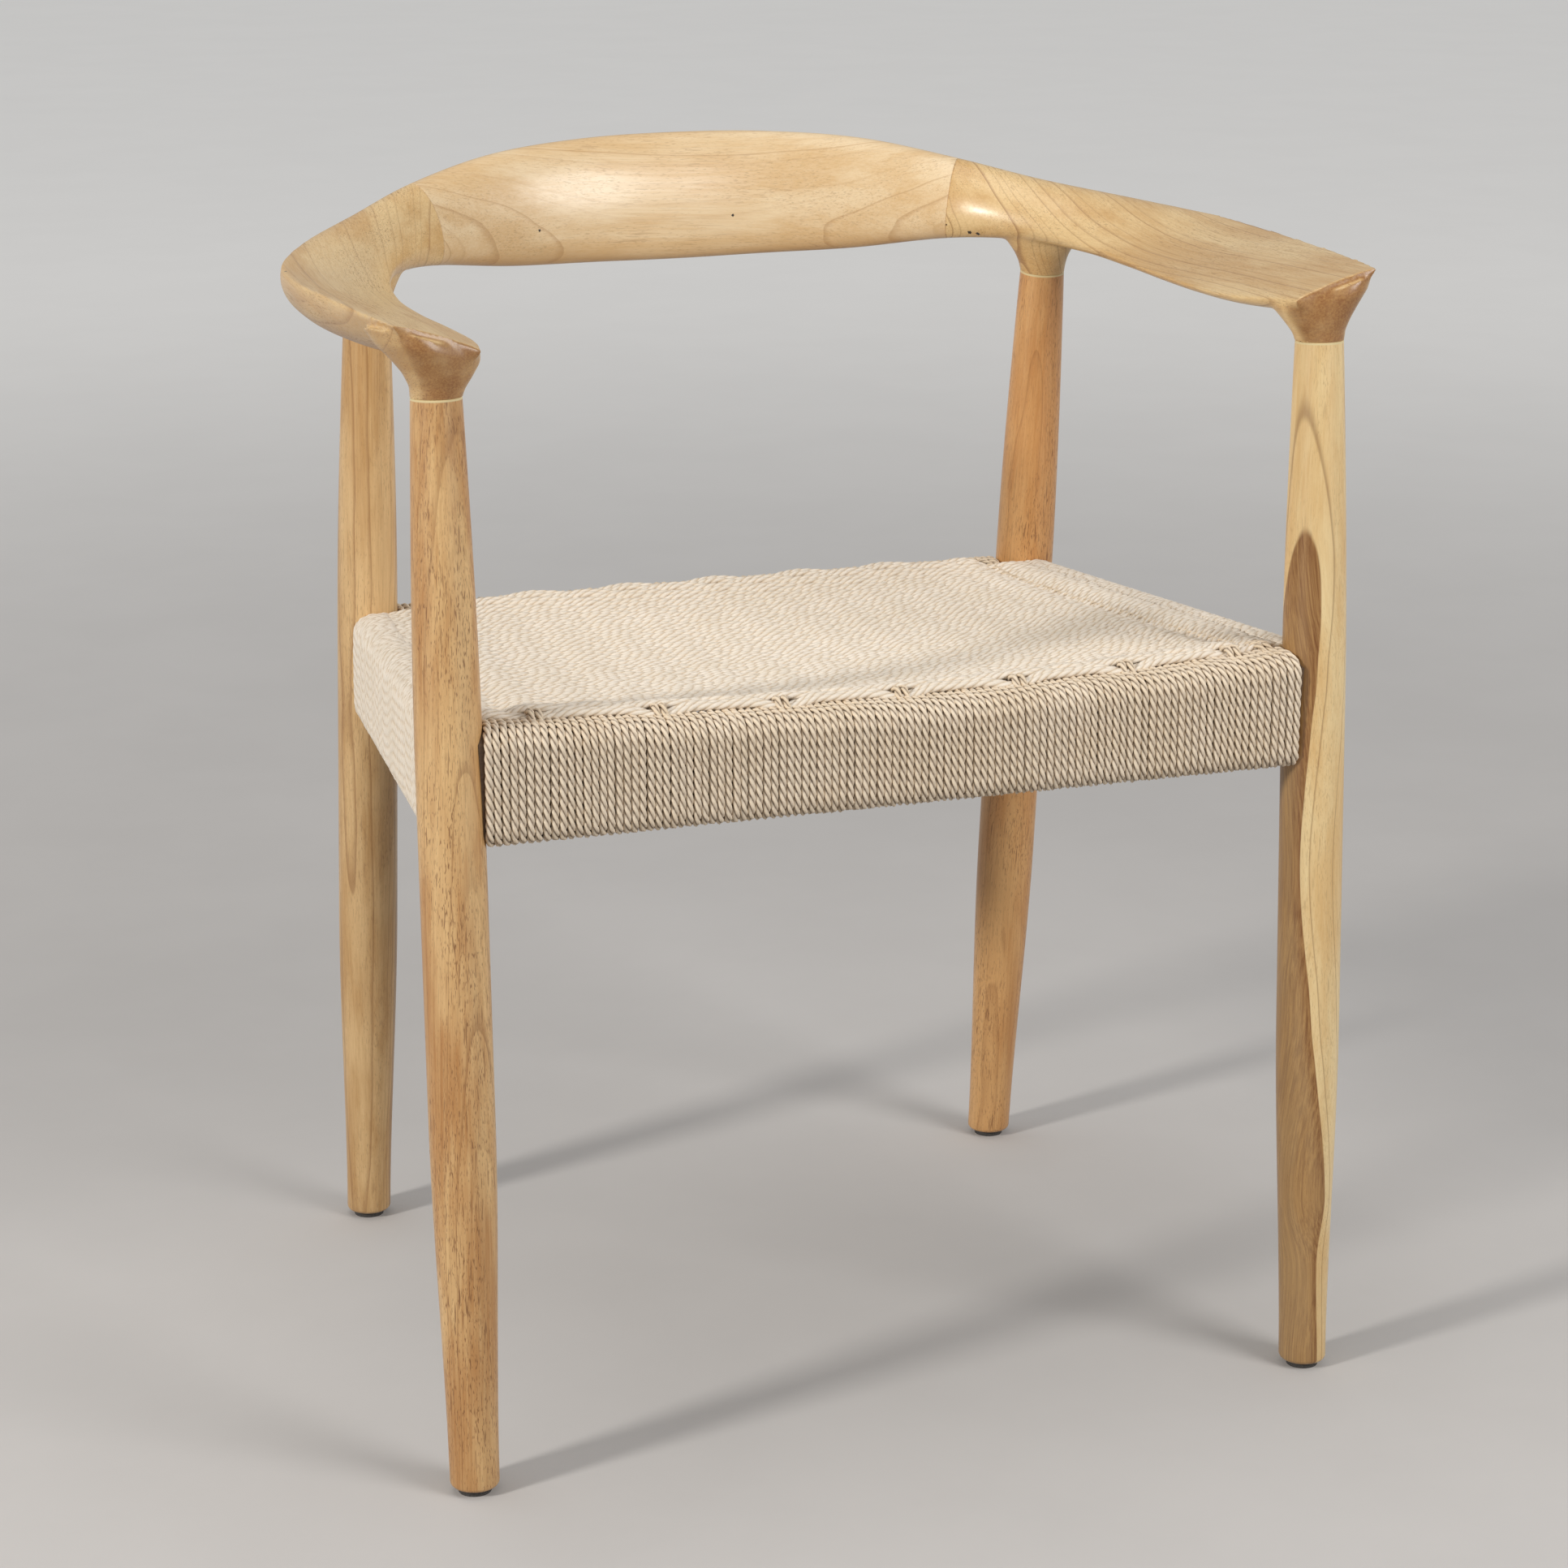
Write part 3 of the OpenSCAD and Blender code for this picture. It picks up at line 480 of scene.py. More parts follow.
tipY = frontRing[1] - chair["ringDiameter"] / 2 - topRail["tipReach"]
tipRow = [frontRing[0] + topRail["tipWidth"] * 0.55, tipY, frontRing[2] + topRail["bladeRise"],
          frontRing[0] - topRail["tipWidth"] * 0.45, tipY + topRail["bladeThick"] / 7,
          frontRing[2] + topRail["bladeRise"] * 0.6,
          topRail["bladeThick"] * 0.1, topRail["bladeThick"] * 0.6, 1, -0.2, 1]
stations = np.array([
    backRow([0, 1, 1], [0, 0.81, 0], 0),
    backRow([0.28, 0.96, 0.985], [0.255, 0.79, 0.01], 0),
    backRow([0.56, 0.79, 0.925], [0.52, 0.66, 0.04], 0),
    backRow([0.82, 0.52, 0.78], [0.76, 0.36, 0.14], 0.1),
    armRow([-0.02, 0.14, 1.29], [0.04, -0.33, 0.55], 0.62, 0.9, 0.15, 0.25, 0),
    armRow([0.14, 0.69, 1.13], [0.19, -0.13, 0.52], 0.43, 0.9, 0.5, 0.35, 0),
    armRow([0.32, 1, 1.04], [0.35, -0.12, 0.46], 0.24, 0.95, 0.8, 0.4, 0),
    armRow([0.5, 0.98, 1], [0.51, -0.23, 0.44], 0.14, 0.97, 1, 0.4, 0),
    armRow([0.68, 0.82, 1], [0.68, -0.38, 0.45], 0.1, 0.96, 1, 0.4, 0),
    armRow([0.87, 0.63, 1], [0.85, -0.47, 0.48], 0.1, 0.85, 1, 0.3, 0.3),
    tipRow])
lastStation = len(stations) - 1
overMirror = np.array([-1, 1, 1, -1, 1, 1, 1, 1, 1, 1, 1])


def station(i):
    if i < 0:
        return stations[-i] * overMirror
    if i > lastStation:
        return 2 * stations[lastStation] - stations[2 * lastStation - i]
    return stations[i]


# The row at s, on a smooth curve through the stations
def railRow(s):
    i = math.floor(s)
    a, b, c, d = (station(i + k) for k in (-1, 0, 1, 2))
    t = s - i
    return 0.5 * (2 * b + (c - a) * t + (2 * a - 5 * b + 4 * c - d) * t ** 2
                  + (3 * b - a - 3 * c + d) * t ** 3)


def railMiddle(s):
    row = railRow(s)
    return (row[0:3] + row[3:6]) / 2


def railWay(s):
    return unit(railMiddle(s + topRail["wayStep"]) - railMiddle(s - topRail["wayStep"]))


# The rail's outline at s: down its inner face, then up its outer face
def railOutline(s, steps):
    row = railRow(s)
    top, way = row[0:3], row[3:6] - row[0:3]
    normal = unit(np.cross(unit(way), railWay(s)))
    points = []
    for k in range(2 * steps):
        a = math.pi * (k if k <= steps else 2 * steps - k) / steps
        t = (1 - math.cos(a)) / 2
        if k <= steps:
            bulge = row[6] * math.sin(a) ** (1 + row[8] * (1 - t))
        else:
            bulge = -row[7] * (1 + row[9] * math.cos(a)) * math.sin(a) ** (1 + row[10] * (1 - t))
        points.append(top + way * t + normal * bulge)
    return np.array(points)


# A closed skin over rings with the same count of points
def loft(name, rings):
    count, rows = len(rings[0]), len(rings)
    faces = [(i * count + k, (i + 1) * count + k, (i + 1) * count + (k + 1) % count,
              i * count + (k + 1) % count) for i in range(rows - 1) for k in range(count)]
    faces.append(tuple(range(count)))
    faces.append(tuple(reversed(range((rows - 1) * count, rows * count))))
    mesh = bpy.data.meshes.new(name)
    mesh.from_pydata((np.concatenate(list(rings)) * mm).tolist(), [], faces)
    mesh.update()
    piece = linked(name, mesh)
    tidyNormals(piece)
    return piece


backShape = {"steps": ((150, 36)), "overSeam": 0.1, "undersideShadeShare": 0.45,
             "underside": (-0.1, -0.6)}
seam = topRail["seam"]
backEnd = seam + backShape["overSeam"]
backRest = loft("backRest", [railOutline(s, backShape["steps"][1])
                             for s in np.linspace(-backEnd, backEnd, backShape["steps"][0])])
for side in (1, -1):
    mirror = np.array([side, 1, 1])
    cutFlat(backRest, railMiddle(seam) * mirror, -railWay(seam) * mirror)
smoothShade(backRest, 40)
# painted shade: the back's downward-facing underside is darkened, carried in the end-grain layer
facingDown = fade(vertexRows(backRest, "normal")[:, 2], *backShape["underside"])
writeLayer(backRest.data, "endGrainAndShade", backShape["undersideShadeShare"] * facingDown)
finishWith(backRest, woodMaterial(
    "backRestWood", tone="back", turn=(2, 87, 0), heart=(-625, -60, 0), gap=6.5, wander=28, lines=0.4,
    pores=0.3, toneShare=0.9, coat=0.45, spots=((-101.4, 198.7, 684.4), (36.6, 208.3, 686.5)),
    spotSize=0.9))
standFor(backRest, "back_rest")
print("back made")


# Arms: the rail's two ends with a turned-down collar over each leg, made one by a remesh. A collar's
# rows: share of its height, reach left, right, front and back in ring radii, squareness

frontCollarRows = [
    (0, -1, 1, -1, 1, 2), (0.2, -1.12, 1.05, -1.08, 0.97, 2.1), (0.4, -1.34, 1.26, -1.2, 1.14, 2.3),
    (0.6, -1.55, 1.57, -1.28, 1.55, 2.6), (0.8, -1.76, 1.93, -1.36, 2.15, 2.9),
    (1, -1.95, 2.15, -1.25, 2.6, 3)]
rearCollarRows = [
    (0, -1, 1, -1, 1, 2), (0.24, -1.12, 1.05, -1.03, 1.02, 2), (0.48, -1.35, 1.15, -1.08, 1.08, 2),
    (0.72, -1.7, 1.35, -1.15, 1.15, 2), (1, -2.1, 1.6, -1.25, 1.3, 2)]
armShape = {
    "voxel": 1.2, "softPasses": 4, "filletPasses": 40, "stub": 4, "rings": 150, "steps": 30, "overSeam": 0.25,
    "collarSides": 56, "frontFillet": (22, 36), "rearFillet": (18, 40), "filletHeight": 16, "filletGain": 1.6,
}


def collar(name, rows, height, slope, turn, ring, tilt):
    rings = []
    for share, left, right, front, back, square in [(-armShape["stub"] / height, -1, 1, -1, 1, 2)] + rows:
        corners = []
        for k in range(armShape["collarSides"]):
            a = 2 * math.pi * k / armShape["collarSides"]
            ca, sa = math.cos(a), math.sin(a)
            x = (left + right) / 2 + (right - left) / 2 * math.copysign(abs(ca) ** (2 / square), ca)
            y = (front + back) / 2 + (back - front) / 2 * math.copysign(abs(sa) ** (2 / square), sa)
            x, y = x * chair["ringDiameter"] / 2, y * chair["ringDiameter"] / 2
            corners.append((x, y, share * (height + slope * x)))
        rings.append(np.array(corners))
    piece = loft(name, rings)
    piece.data.transform(Matrix.Translation(Vector(ring * mm)) @ Matrix.Rotation(tilt, 4, 'X')
                         @ Matrix.Rotation(math.radians(turn), 4, 'Z'))
    return piece


def makeArm():
    t, shape = topRail, armShape
    arm = loft("armRight", [railOutline(s, shape["steps"])
                            for s in np.linspace(seam - shape["overSeam"], lastStation, shape["rings"])])
    collars = [collar("frontCollar", frontCollarRows, t["frontCollar"], t["bladeSlope"], t["frontTurn"],
                      frontRing, -frontTilt),
               collar("rearCollar", rearCollarRows, t["rearCollar"], 0, t["rearTurn"], rearRing, rearTilt)]
    pick(arm)
    for part in collars:
        part.select_set(True)
    bpy.ops.object.join()
    applyModifier(arm, 'REMESH', mode='VOXEL', voxel_size=shape["voxel"] * mm * 1)
    # stronger smoothing where a collar runs into the rail
    near = arm.vertex_groups.new(name="fillet")
    points = np.array([v.co for v in arm.data.vertices]) / mm
    for ring, (rise, reach) in ((frontRing, shape["frontFillet"]), (rearRing, shape["rearFillet"])):
        away = (points - (ring + np.array([0, 0, rise]))) / (reach, reach, shape["filletHeight"])
        share = 1 - np.linalg.norm(away, axis=1)
        for index in np.nonzero(share > 0)[0]:
            near.add([int(index)], float(ease(share[index] * shape["filletGain"])), 'ADD')
    applyModifier(arm, 'SMOOTH', factor=0.5, iterations=shape["filletPasses"], vertex_group="fillet")
    applyModifier(arm, 'SMOOTH', factor=0.5, iterations=shape["softPasses"])
    cutFlat(arm, railMiddle(seam), railWay(seam))
    for ring, tilt in ((frontRing, -frontTilt), (rearRing, rearTilt)):
        cutFlat(arm, ring, (0, -math.sin(tilt), math.cos(tilt)), legTurning["ringChamfer"])
    arm.vertex_groups.clear()
    smoothShade(arm)
    return arm


# Each pair is where a mark begins and how far it takes to be full
armGrain = {"tip": (-150, -25), "facing": (0.3, 0.45), "flankShare": 0.45, "flankDown": (0.4, -0.6),
            "flankOut": (-0.1, 0.4), "flankFrom": (90, -110)}


# Marks dark end grain where the surface cuts across the grain near the tip, deepened partly as painted shade,
# and marks the down-facing outer flanks under the ridge, partly slantwise grain and partly painted shade
def markEndGrainAndShade(piece, grain):
    g, normals, places = armGrain, vertexRows(piece, "normal"), vertexRows(piece, "co")
    y = places[:, 1] / mm
    facing = np.abs(normals @ unit(np.array(grain, float)))
    outward = normals[:, 0] * np.sign(places[:, 0])
    ends = fade(y, *g["tip"]) * fade(facing, *g["facing"])
    flank = (g["flankShare"] * fade(normals[:, 2], *g["flankDown"]) * fade(outward, *g["flankOut"])
             * fade(y, *g["flankFrom"]))
    writeLayer(piece.data, "endGrainAndShade", np.maximum(ends, flank))


armRight = makeArm()
armLeft = linked("armLeft", armRight.data.copy())
armLeft.data.name = "armLeft"
armLeft.data.transform(Matrix.Scale(-1, 4, (1, 0, 0)))
tidyNormals(armLeft)
for arm, node, grain, look in (
        (armRight, "arm_right", (0.1, 1, 0.1), dict(
            turn=(90, 3, 0), heart=(-405, 730, 0), gap=5.2, wander=15, lines=0.62, pores=0.4,
            spots=((188.5, 158.2, 674.9), (193, 154.5, 674.5)), spotSize=1.3)),
        (armLeft, "arm_left", (-0.1, 1, 0.1), dict(
            turn=(90, -3, 0), heart=(400, 725, 60), gap=5.6, wander=18, lines=0.42, pores=0.55,
            spots=((-314.1, 9.7, 699.2),), spotSize=0.9))):
    finishWith(arm, woodMaterial(arm.name + "Wood", tone="golden", toneShare=0.85, coat=0.3, **look))
    markEndGrainAndShade(arm, grain)
    standFor(arm, node)
print("arms made:", len(armRight.data.polygons), "faces each")


# Paper cord: three plies laid together, as tubes along paths

# plyCrest runs from 0 in a ply's groove to 1 on its crest; the cord material paints shade in the grooves and
# on the flanks from it
cord = {"warpThick": 5.25, "weftThick": 5.0, "lay": 20.5, "step": 2.7, "warpStep": 2.6, "weftStep": 2.9,
        "plyAngles": (0, 22, 60, 98), "plyCrest": (0, 0.74, 1, 0.74), "toneTurn": 7.3,
        "boldPly": (0.46, 0.83, 1.0, 0.83), "softPly": (0.72, 0.92, 1.0, 0.92)}
dice = np.random.RandomState(7)


# Each path is (points, reference direction, thickness, starting twist); the reference stays square to it
def cordPiece(name, paths, profile="softPly"):
    angles = np.radians([ply * 120 + a for ply in range(3) for a in cord["plyAngles"]])
    shape, rises = np.tile(cord[profile], 3), np.tile(cord["plyCrest"], 3)
    sides = len(angles)
    allPoints, allFaces, smooth, crest, strand = [], [], [], [], []
    start = 0
    for points, reference, thick, phase in paths:
        way = unit(np.gradient(points, axis=0))
        across = unit(reference - (way @ reference)[:, None] * way)
        third = np.cross(way, across)
        turned = angles + (phase - 2 * math.pi * travelled(points) / cord["lay"])[:, None]
        reach = thick / 2 * shape
        rings = (points[:, None] + (reach * np.cos(turned))[:, :, None] * across[:, None]
                 + (reach * np.sin(turned))[:, :, None] * third[:, None])
        rows = len(points)
        index = start + np.arange(rows)[:, None] * sides + np.arange(sides)
        nextIndex = np.roll(index, -1, axis=1)
        quads = np.stack([index[:-1], nextIndex[:-1], nextIndex[1:], index[1:]], axis=2).reshape(-1, 4)
        allPoints.append(rings.reshape(-1, 3))
        allFaces.append(quads)
        smooth.append(np.ones(len(quads), bool))
        crest.append(np.tile(rises, rows))
        strand.append(np.full(rows * sides, abs(math.sin(phase * cord["toneTurn"]))))
        # flat ends
        for ring, order in ((index[0], -1), (index[-1], 1)):
            allFaces.append(np.array([(ring[0], ring[k], ring[k + 1])[::order] for k in range(1, sides - 1)]))
            smooth.append(np.zeros(sides - 2, bool))
        start += rows * sides
    mesh = bpy.data.meshes.new(name)
    points = np.concatenate(allPoints) * mm
    loops = np.concatenate([f.reshape(-1) for f in allFaces])
    sizes = np.concatenate([np.full(len(f), f.shape[1]) for f in allFaces])
    mesh.vertices.add(len(points))
    mesh.vertices.foreach_set("co", points.reshape(-1))
    mesh.loops.add(len(loops))
    mesh.loops.foreach_set("vertex_index", loops)
    mesh.polygons.add(len(sizes))
    mesh.polygons.foreach_set("loop_start", np.concatenate([[0], np.cumsum(sizes)[:-1]]))
    mesh.polygons.foreach_set("use_smooth", np.concatenate(smooth))
    mesh.update(calc_edges=True)
    writeLayer(mesh, "crest", np.concatenate(crest))
    writeLayer(mesh, "strand", np.concatenate(strand))
    mesh.validate()
    print(name, len(mesh.polygons), "faces")
    return linked(name, mesh)


def evenly(points, step):
    along = travelled(points)
    at = np.linspace(0, along[-1], max(3, int(round(along[-1] / step)) + 1))
    return np.stack([np.interp(at, along, column) for column in points.T], axis=1)


seat = {
    "frontTop": 471, "rearTop": 446.5, "frontHeight": 73.5, "rearHeight": 69, "sideFrontHeight": 77,
    "sideRearHeight": 73, "frontDip": 9, "crossWood": 26, "sideWood": 22, "sideOut": 12.5, "cord": 4.4,
    "frontTurns": 108, "rearTurns": 90, "wrapRound": 11, "frontSplay": 3.5, "sideRise": 1.5, "legGap": 0.3,
    "sag": 12, "cutShare": 0.6, "outerCut": 2, "weaveGap": 0.2,
}
winding = {"step": 0.5, "rounding": 9.0, "lowBand": 0.6, "slack": 0.3, "stray": 0.13, "strayOut": 0.16,
           "bottomShare": 0.11}
legFace = chair["bellyDiameter"] / 2
frontMidZ = seat["frontTop"] - seat["frontHeight"] / 2
rearMidZ = seat["rearTop"] - seat["rearHeight"] / 2
frontMidY, rearMidY = frontAxisY(frontMidZ), rearAxisY(rearMidZ)
sideFrontZ = seat["frontTop"] - seat["sideFrontHeight"] / 2
sideRearZ = seat["rearTop"] + seat["sideRise"] - seat["sideRearHeight"] / 2
sideFront = np.array([chair["frontX"], frontAxisY(sideFrontZ)])
sideRear = np.array([chair["rearX"], rearAxisY(sideRearZ)])
sideLength = np.linalg.norm(sideFront - sideRear)
sideWay = (sideFront - sideRear) / sideLength
sideNormal = np.array([-sideWay[1], sideWay[0]])
sideMid = seat["sideOut"] - seat["cord"] - seat["sideWood"] / 2
woodCut = seat["cutShare"] * (seat["wrapRound"] - seat["cord"])
outerCut = woodCut + seat["outerCut"]
frontEnd = chair["frontX"] - legFace - seat["legGap"]
rearEnd = chair["rearX"] - legFace - seat["legGap"]


# A rail's section of wood with its edges cut, the upper two by their own amounts
def woodOutline(v0, v1, z0, z1, cutV0, cutV1):
    cut = woodCut
    return np.array([[v1, z0 + cut], [v1, z1 - cutV1], [v1 - cutV1, z1], [v0 + cutV0, z1],
                     [v0, z1 - cutV0], [v0, z0 + cut], [v0 + cut, z0], [v1 - cut, z0]])


def grown(outline, g):
    middle = (outline[0] + outline[4]) / 2
    e = g * math.tan(math.radians(22.5))
    reach = np.array([[e if k % 4 >= 2 else g, g if k % 4 >= 2 else e] for k in range(8)])
    return outline + np.sign(outline - middle) * reach


# A closed outline with its corners rounded, starting at the middle of its lower side
def softLoop(outline):
    fine = evenly(np.vstack([outline, outline[:1]]), winding["step"])[:-1]
    half = int(round(winding["rounding"] / winding["step"])) // 2
    soft = sum(np.roll(fine, k, axis=0) for k in range(-half, half + 1)) / (2 * half + 1)
    low = soft[:, 1] < soft[:, 1].min() + winding["lowBand"]
    middle = (soft[low, 0].min() + soft[low, 0].max()) / 2
    first = int(np.argmin(np.where(low, np.abs(soft[:, 0] - middle), np.inf)))
    return np.roll(soft, -first, axis=0)


def frontOutline(x):
    half, reach = seat["crossWood"] / 2, seat["frontHeight"] / 2 - seat["cord"]
    dip = seat["frontDip"] * (1 - (x / frontEnd) ** 2)
    return woodOutline(-half, half, frontMidZ - reach, frontMidZ + reach - dip, outerCut, woodCut)


def rearOutline(x):
    half, reach = seat["crossWood"] / 2, seat["rearHeight"] / 2 - seat["cord"]
    return woodOutline(-half, half, rearMidZ - reach, rearMidZ + reach, woodCut, outerCut)


# Cord wound round a cross rail; it moves on to the next turn on the rail's underside
def woundPath(outlineAt, midY, end, turns, splay, frontSide):
    pitch, bottom = 2 * end / turns, winding["bottomShare"]
    strayX = dice.normal(0, winding["stray"], turns + 2)
    strayOut = dice.normal(0, winding["strayOut"], turns + 2)
    path = []
    for k in range(turns):
        x = -end + (k + 0.5) * pitch
        loop = softLoop(grown(outlineAt(x), seat["cord"] + winding["slack"] - cord["warpThick"] / 2))
        if (loop[len(loop) // 8, 0] < 0) == frontSide:  # up the inner face first
            loop = np.roll(loop[::-1], 1, axis=0)
        loop = evenly(np.vstack([loop, loop[:1]]), cord["step"])[:-1]
        share = np.arange(len(loop)) / len(loop)
        leaving = share > 1 - bottom
        advance = np.where(share < bottom, -0.5 + 0.5 * share / bottom,
                           np.where(leaving, 0.5 * (share - 1 + bottom) / bottom, 0))
        shiftX = strayX[k] + (strayX[k + 1] - strayX[k]) * np.where(leaving, share, 0)
        outer = loop[:, 0] < 0 if frontSide else loop[:, 0] > 0
        toFront = np.clip(np.abs(loop[:, 0]) / (seat["crossWood"] / 2), 0, 1)
        lean = np.where(outer, splay * (x / end) ** 3 * toFront, 0)
        middle = np.array([0, (loop[:, 1].min() + loop[:, 1].max()) / 2])
        loop = loop + unit(loop - middle) * strayOut[k]
        path.append(np.stack([x + advance * pitch + shiftX + lean, midY + loop[:, 0], loop[:, 1]], axis=1))
    return np.concatenate(path)


alongX = np.array([1.0, 0, 0])
alongY = np.array([0, 1.0, 0])
frontPath = woundPath(frontOutline, frontMidY, frontEnd, seat["frontTurns"], seat["frontSplay"], True)
frontWrap = cordPiece("frontWrap", [(frontPath, alongX, cord["warpThick"], 0.0)], "boldPly")
rearPath = woundPath(rearOutline, rearMidY, rearEnd, seat["rearTurns"], 0, False)
rearWrap = cordPiece("rearWrap", [(rearPath, alongX, cord["warpThick"], 1.0)], "boldPly")

# The weave: pairs of warps from front to rear, pairs of wefts from side to side. In the first
# bundle the wefts dive under the warps' hooks and lie lower over the other pairs

weave = {
    "bundles": 56, "front": -196.0, "rear": 152.0, "narrowing": 0.16, "pairGap": 37,
    "pairs": (-221, -184, -147, -106, -68.5, -31, 5, 41.5, 78, 116, 151, 191.5, 221, 246),
    "amplitude": 1.45, "fan": 75.0, "openGap": 4.7, "tightGap": 3.3, "tightRise": 0.7, "settle": 22,
    "stray": 0.12, "edgeSwing": 2.6, "hookSwing": 0.25, "dive": 2.4, "firstDrop": 1.9,
    "valley": 3.0, "valleyPlace": 25, "valleyWidth": 9,
    "clothDrop": 2.4, "frontLift": 4.5, "frontLiftReach": 40, "rearLift": 3.4, "rearLiftReach": 34,
    "railSteps": 90, "railDepths": (2.2, -0.4), "railLevel": 1.6, "levelFrom": 0.55, "levelReach": 0.35,
    "innerBand": 2, "topBand": 1, "panelSteps": 420, "crest": 2 / math.pi, "edgeBundles": 2,
}
weaveFront = frontMidY + seat["crossWood"] / 2 + seat["cord"] + seat["weaveGap"]
weaveRear = rearMidY - seat["crossWood"] / 2 - seat["cord"] - seat["weaveGap"]
bundlePitch = (weave["rear"] - weave["front"]) / (weave["bundles"] - 1)


def sideOutline(along):
    t = along / sideLength
    z = sideRearZ + (sideFrontZ - sideRearZ) * t
    height = seat["sideRearHeight"] + (seat["sideFrontHeight"] - seat["sideRearHeight"]) * t
    half, reach = seat["sideWood"] / 2, height / 2 - seat["cord"]
    return woodOutline(sideMid - half, sideMid + half, z - reach, z + reach, woodCut, outerCut)


# Share of the way from the front rail to the rear rail
def towardsRear(y):
    return np.clip((weaveFront - y) / (weaveFront - weaveRear), 0, 1)


# Height of the cloth's middle layer at x, y, where half is the reach to the side rail
def clothZ(x, y, half):
    t = towardsRear(y)
    s = np.clip(x / half, -1, 1)
    hang = (1 - s * s) * (seat["frontDip"] * (1 - t) + seat["sag"] * 4 * t * (1 - t))
    cloth = seat["frontTop"] + (seat["rearTop"] - seat["frontTop"]) * t - hang - weave["clothDrop"]
    frontLift = fade(y, weave["front"] + weave["frontLiftReach"], -weave["frontLiftReach"])
    rearLift = fade(y, weave["rear"] - weave["rearLiftReach"], weave["rearLiftReach"])
    return cloth + weave["frontLift"] * frontLift + weave["rearLift"] * rearLift


# Number of the warp pair at x, with shares between two pairs
def pairNumber(x, t):
    scaled = x / (1 - weave["narrowing"] * t)
    places, gap = np.array(weave["pairs"]), weave["pairGap"]
    number = np.interp(scaled, places, np.arange(len(places)))
    number = np.where(scaled < places[0], (scaled - places[0]) / gap, number)
    number = np.where(scaled > places[-1], len(places) - 1 + (scaled - places[-1]) / gap, number)
    return np.clip(number, -0.5, len(places) - 0.5)


# Round the side rail: from its inner face's middle underneath and up the outer face to the upper inner edge
def railStrand(along, depth):
    loop = softLoop(grown(sideOutline(along), depth))
    if loop[len(loop) // 8, 0] < loop[0, 0]:
        loop = np.roll(loop[::-1], 1, axis=0)
    inner, midZ = sideMid - seat["sideWood"] / 2, (loop[:, 1].min() + loop[:, 1].max()) / 2
    onInner = loop[:, 0] < inner + weave["innerBand"]
    begin = int(np.argmin(np.where(onInner, np.abs(loop[:, 1] - midZ), np.inf)))
    loop = np.roll(loop, -begin, axis=0)
    high = loop[:, 1] > loop[:, 1].max() - weave["topBand"]
    loop = loop[:int(np.argmin(np.where(high, loop[:, 0], np.inf))) + 1]
    spread = np.linspace(0, 1, weave["railSteps"])
    return np.stack([np.interp(spread, np.linspace(0, 1, len(loop)), loop[:, k]) for k in (0, 1)], axis=1)


# A weft's way over the side rail: high and low strands take turns, until they lie level on top
def overRail(along, depth):
    deep, level = railStrand(along, depth), railStrand(along, weave["railLevel"])
    share = fade(np.linspace(0, 1, weave["railSteps"]), weave["levelFrom"], weave["levelReach"])
    loop = deep + (level - deep) * share[:, None]
    flat = sideRear + sideWay * along + sideNormal * loop[:, :1]
    return evenly(np.column_stack([flat, loop[:, 1]]), cord["weftStep"])


wefts, leftStrands, rightStrands = [], [], []
strandPitch = (sideLength - 2 * (legFace + seat["legGap"])) / (2 * weave["bundles"])
for i in range(2 * weave["bundles"]):
    bundle, place = i // 2, (i % 2) * 2 - 1
    first = 1 if bundle == 0 else 0
    onRail = overRail(sideLength - legFace - seat["legGap"] - (i + 0.5) * strandPitch,
                      weave["railDepths"][i % 2])
    edge = onRail[-1]
    xs = np.linspace(edge[0], -edge[0], weave["panelSteps"])[1:-1]
    fromSide = edge[0] - np.abs(xs)
    settle = ease(fromSide / weave["settle"])
    ys = edge[1] + (weave["front"] + bundlePitch * bundle - edge[1]) * ease(fromSide / weave["fan"])
    # the signal is 1 over a pair of warps and -1 under it
    signal = -np.cos(math.pi * (pairNumber(xs, towardsRear(ys)) + bundle))
    signal = 0.5 * signal + 0.5 * weave["crest"] * np.arcsin(np.clip(signal, -1, 1))
    underHook, overPair = first * np.clip(-signal, 0, 1), first * np.clip(signal, 0, 1)
    gap = weave["tightGap"] + (weave["openGap"] - weave["tightGap"]) * (np.abs(signal) - underHook)
    fromEnds = bundle, weave["bundles"] - 1 - bundle
    atEdge = sum(max(1 - count / weave["edgeBundles"], 0) for count in fromEnds)
    swing = weave["edgeSwing"] * (np.minimum(signal, weave["hookSwing"]) if first else signal) * atEdge
    ys = ys + place * gap / 2 * settle + swing * settle + dice.normal(0, weave["stray"])
    zs = (clothZ(xs, ys, edge[0]) + signal * weave["amplitude"]
          + place * weave["tightRise"] * (1 - np.abs(signal))
          - weave["dive"] * underHook - weave["firstDrop"] * overPair
          - weave["valley"] * np.exp(-((fromSide - weave["valleyPlace"]) / weave["valleyWidth"]) ** 2))
    zs = edge[2] + (zs - edge[2]) * settle
    otherSide = [-1, 1, 1]
    whole = evenly(np.vstack([onRail, np.column_stack([xs, ys, zs]), onRail[::-1] * otherSide]),
                   cord["weftStep"])
    # one cord, cut into its two wraps and the panel between them with the twist running on
    phase = dice.uniform(0, 2 * math.pi)
    stepAngle = 2 * math.pi * np.linalg.norm(whole[1] - whole[0]) / cord["lay"]
    onSide = len(onRail)
    cutAt = len(whole) - onSide
    for strands, begin, stop in ((rightStrands, 0, onSide), (wefts, onSide - 1, cutAt + 1),
                                 (leftStrands, cutAt, len(whole))):
        strands.append((whole[begin:stop], alongY, cord["weftThick"], phase - stepAngle * begin))

rightWrap = cordPiece("rightWrap", rightStrands)
leftWrap = cordPiece("leftWrap", leftStrands)
third = len(wefts) // 3
weftPieces = [cordPiece("seatWefts" + label, wefts[a:b]) for label, a, b in
              (("Front", 0, third), ("Middle", third, 2 * third), ("Rear", 2 * third, len(wefts)))]

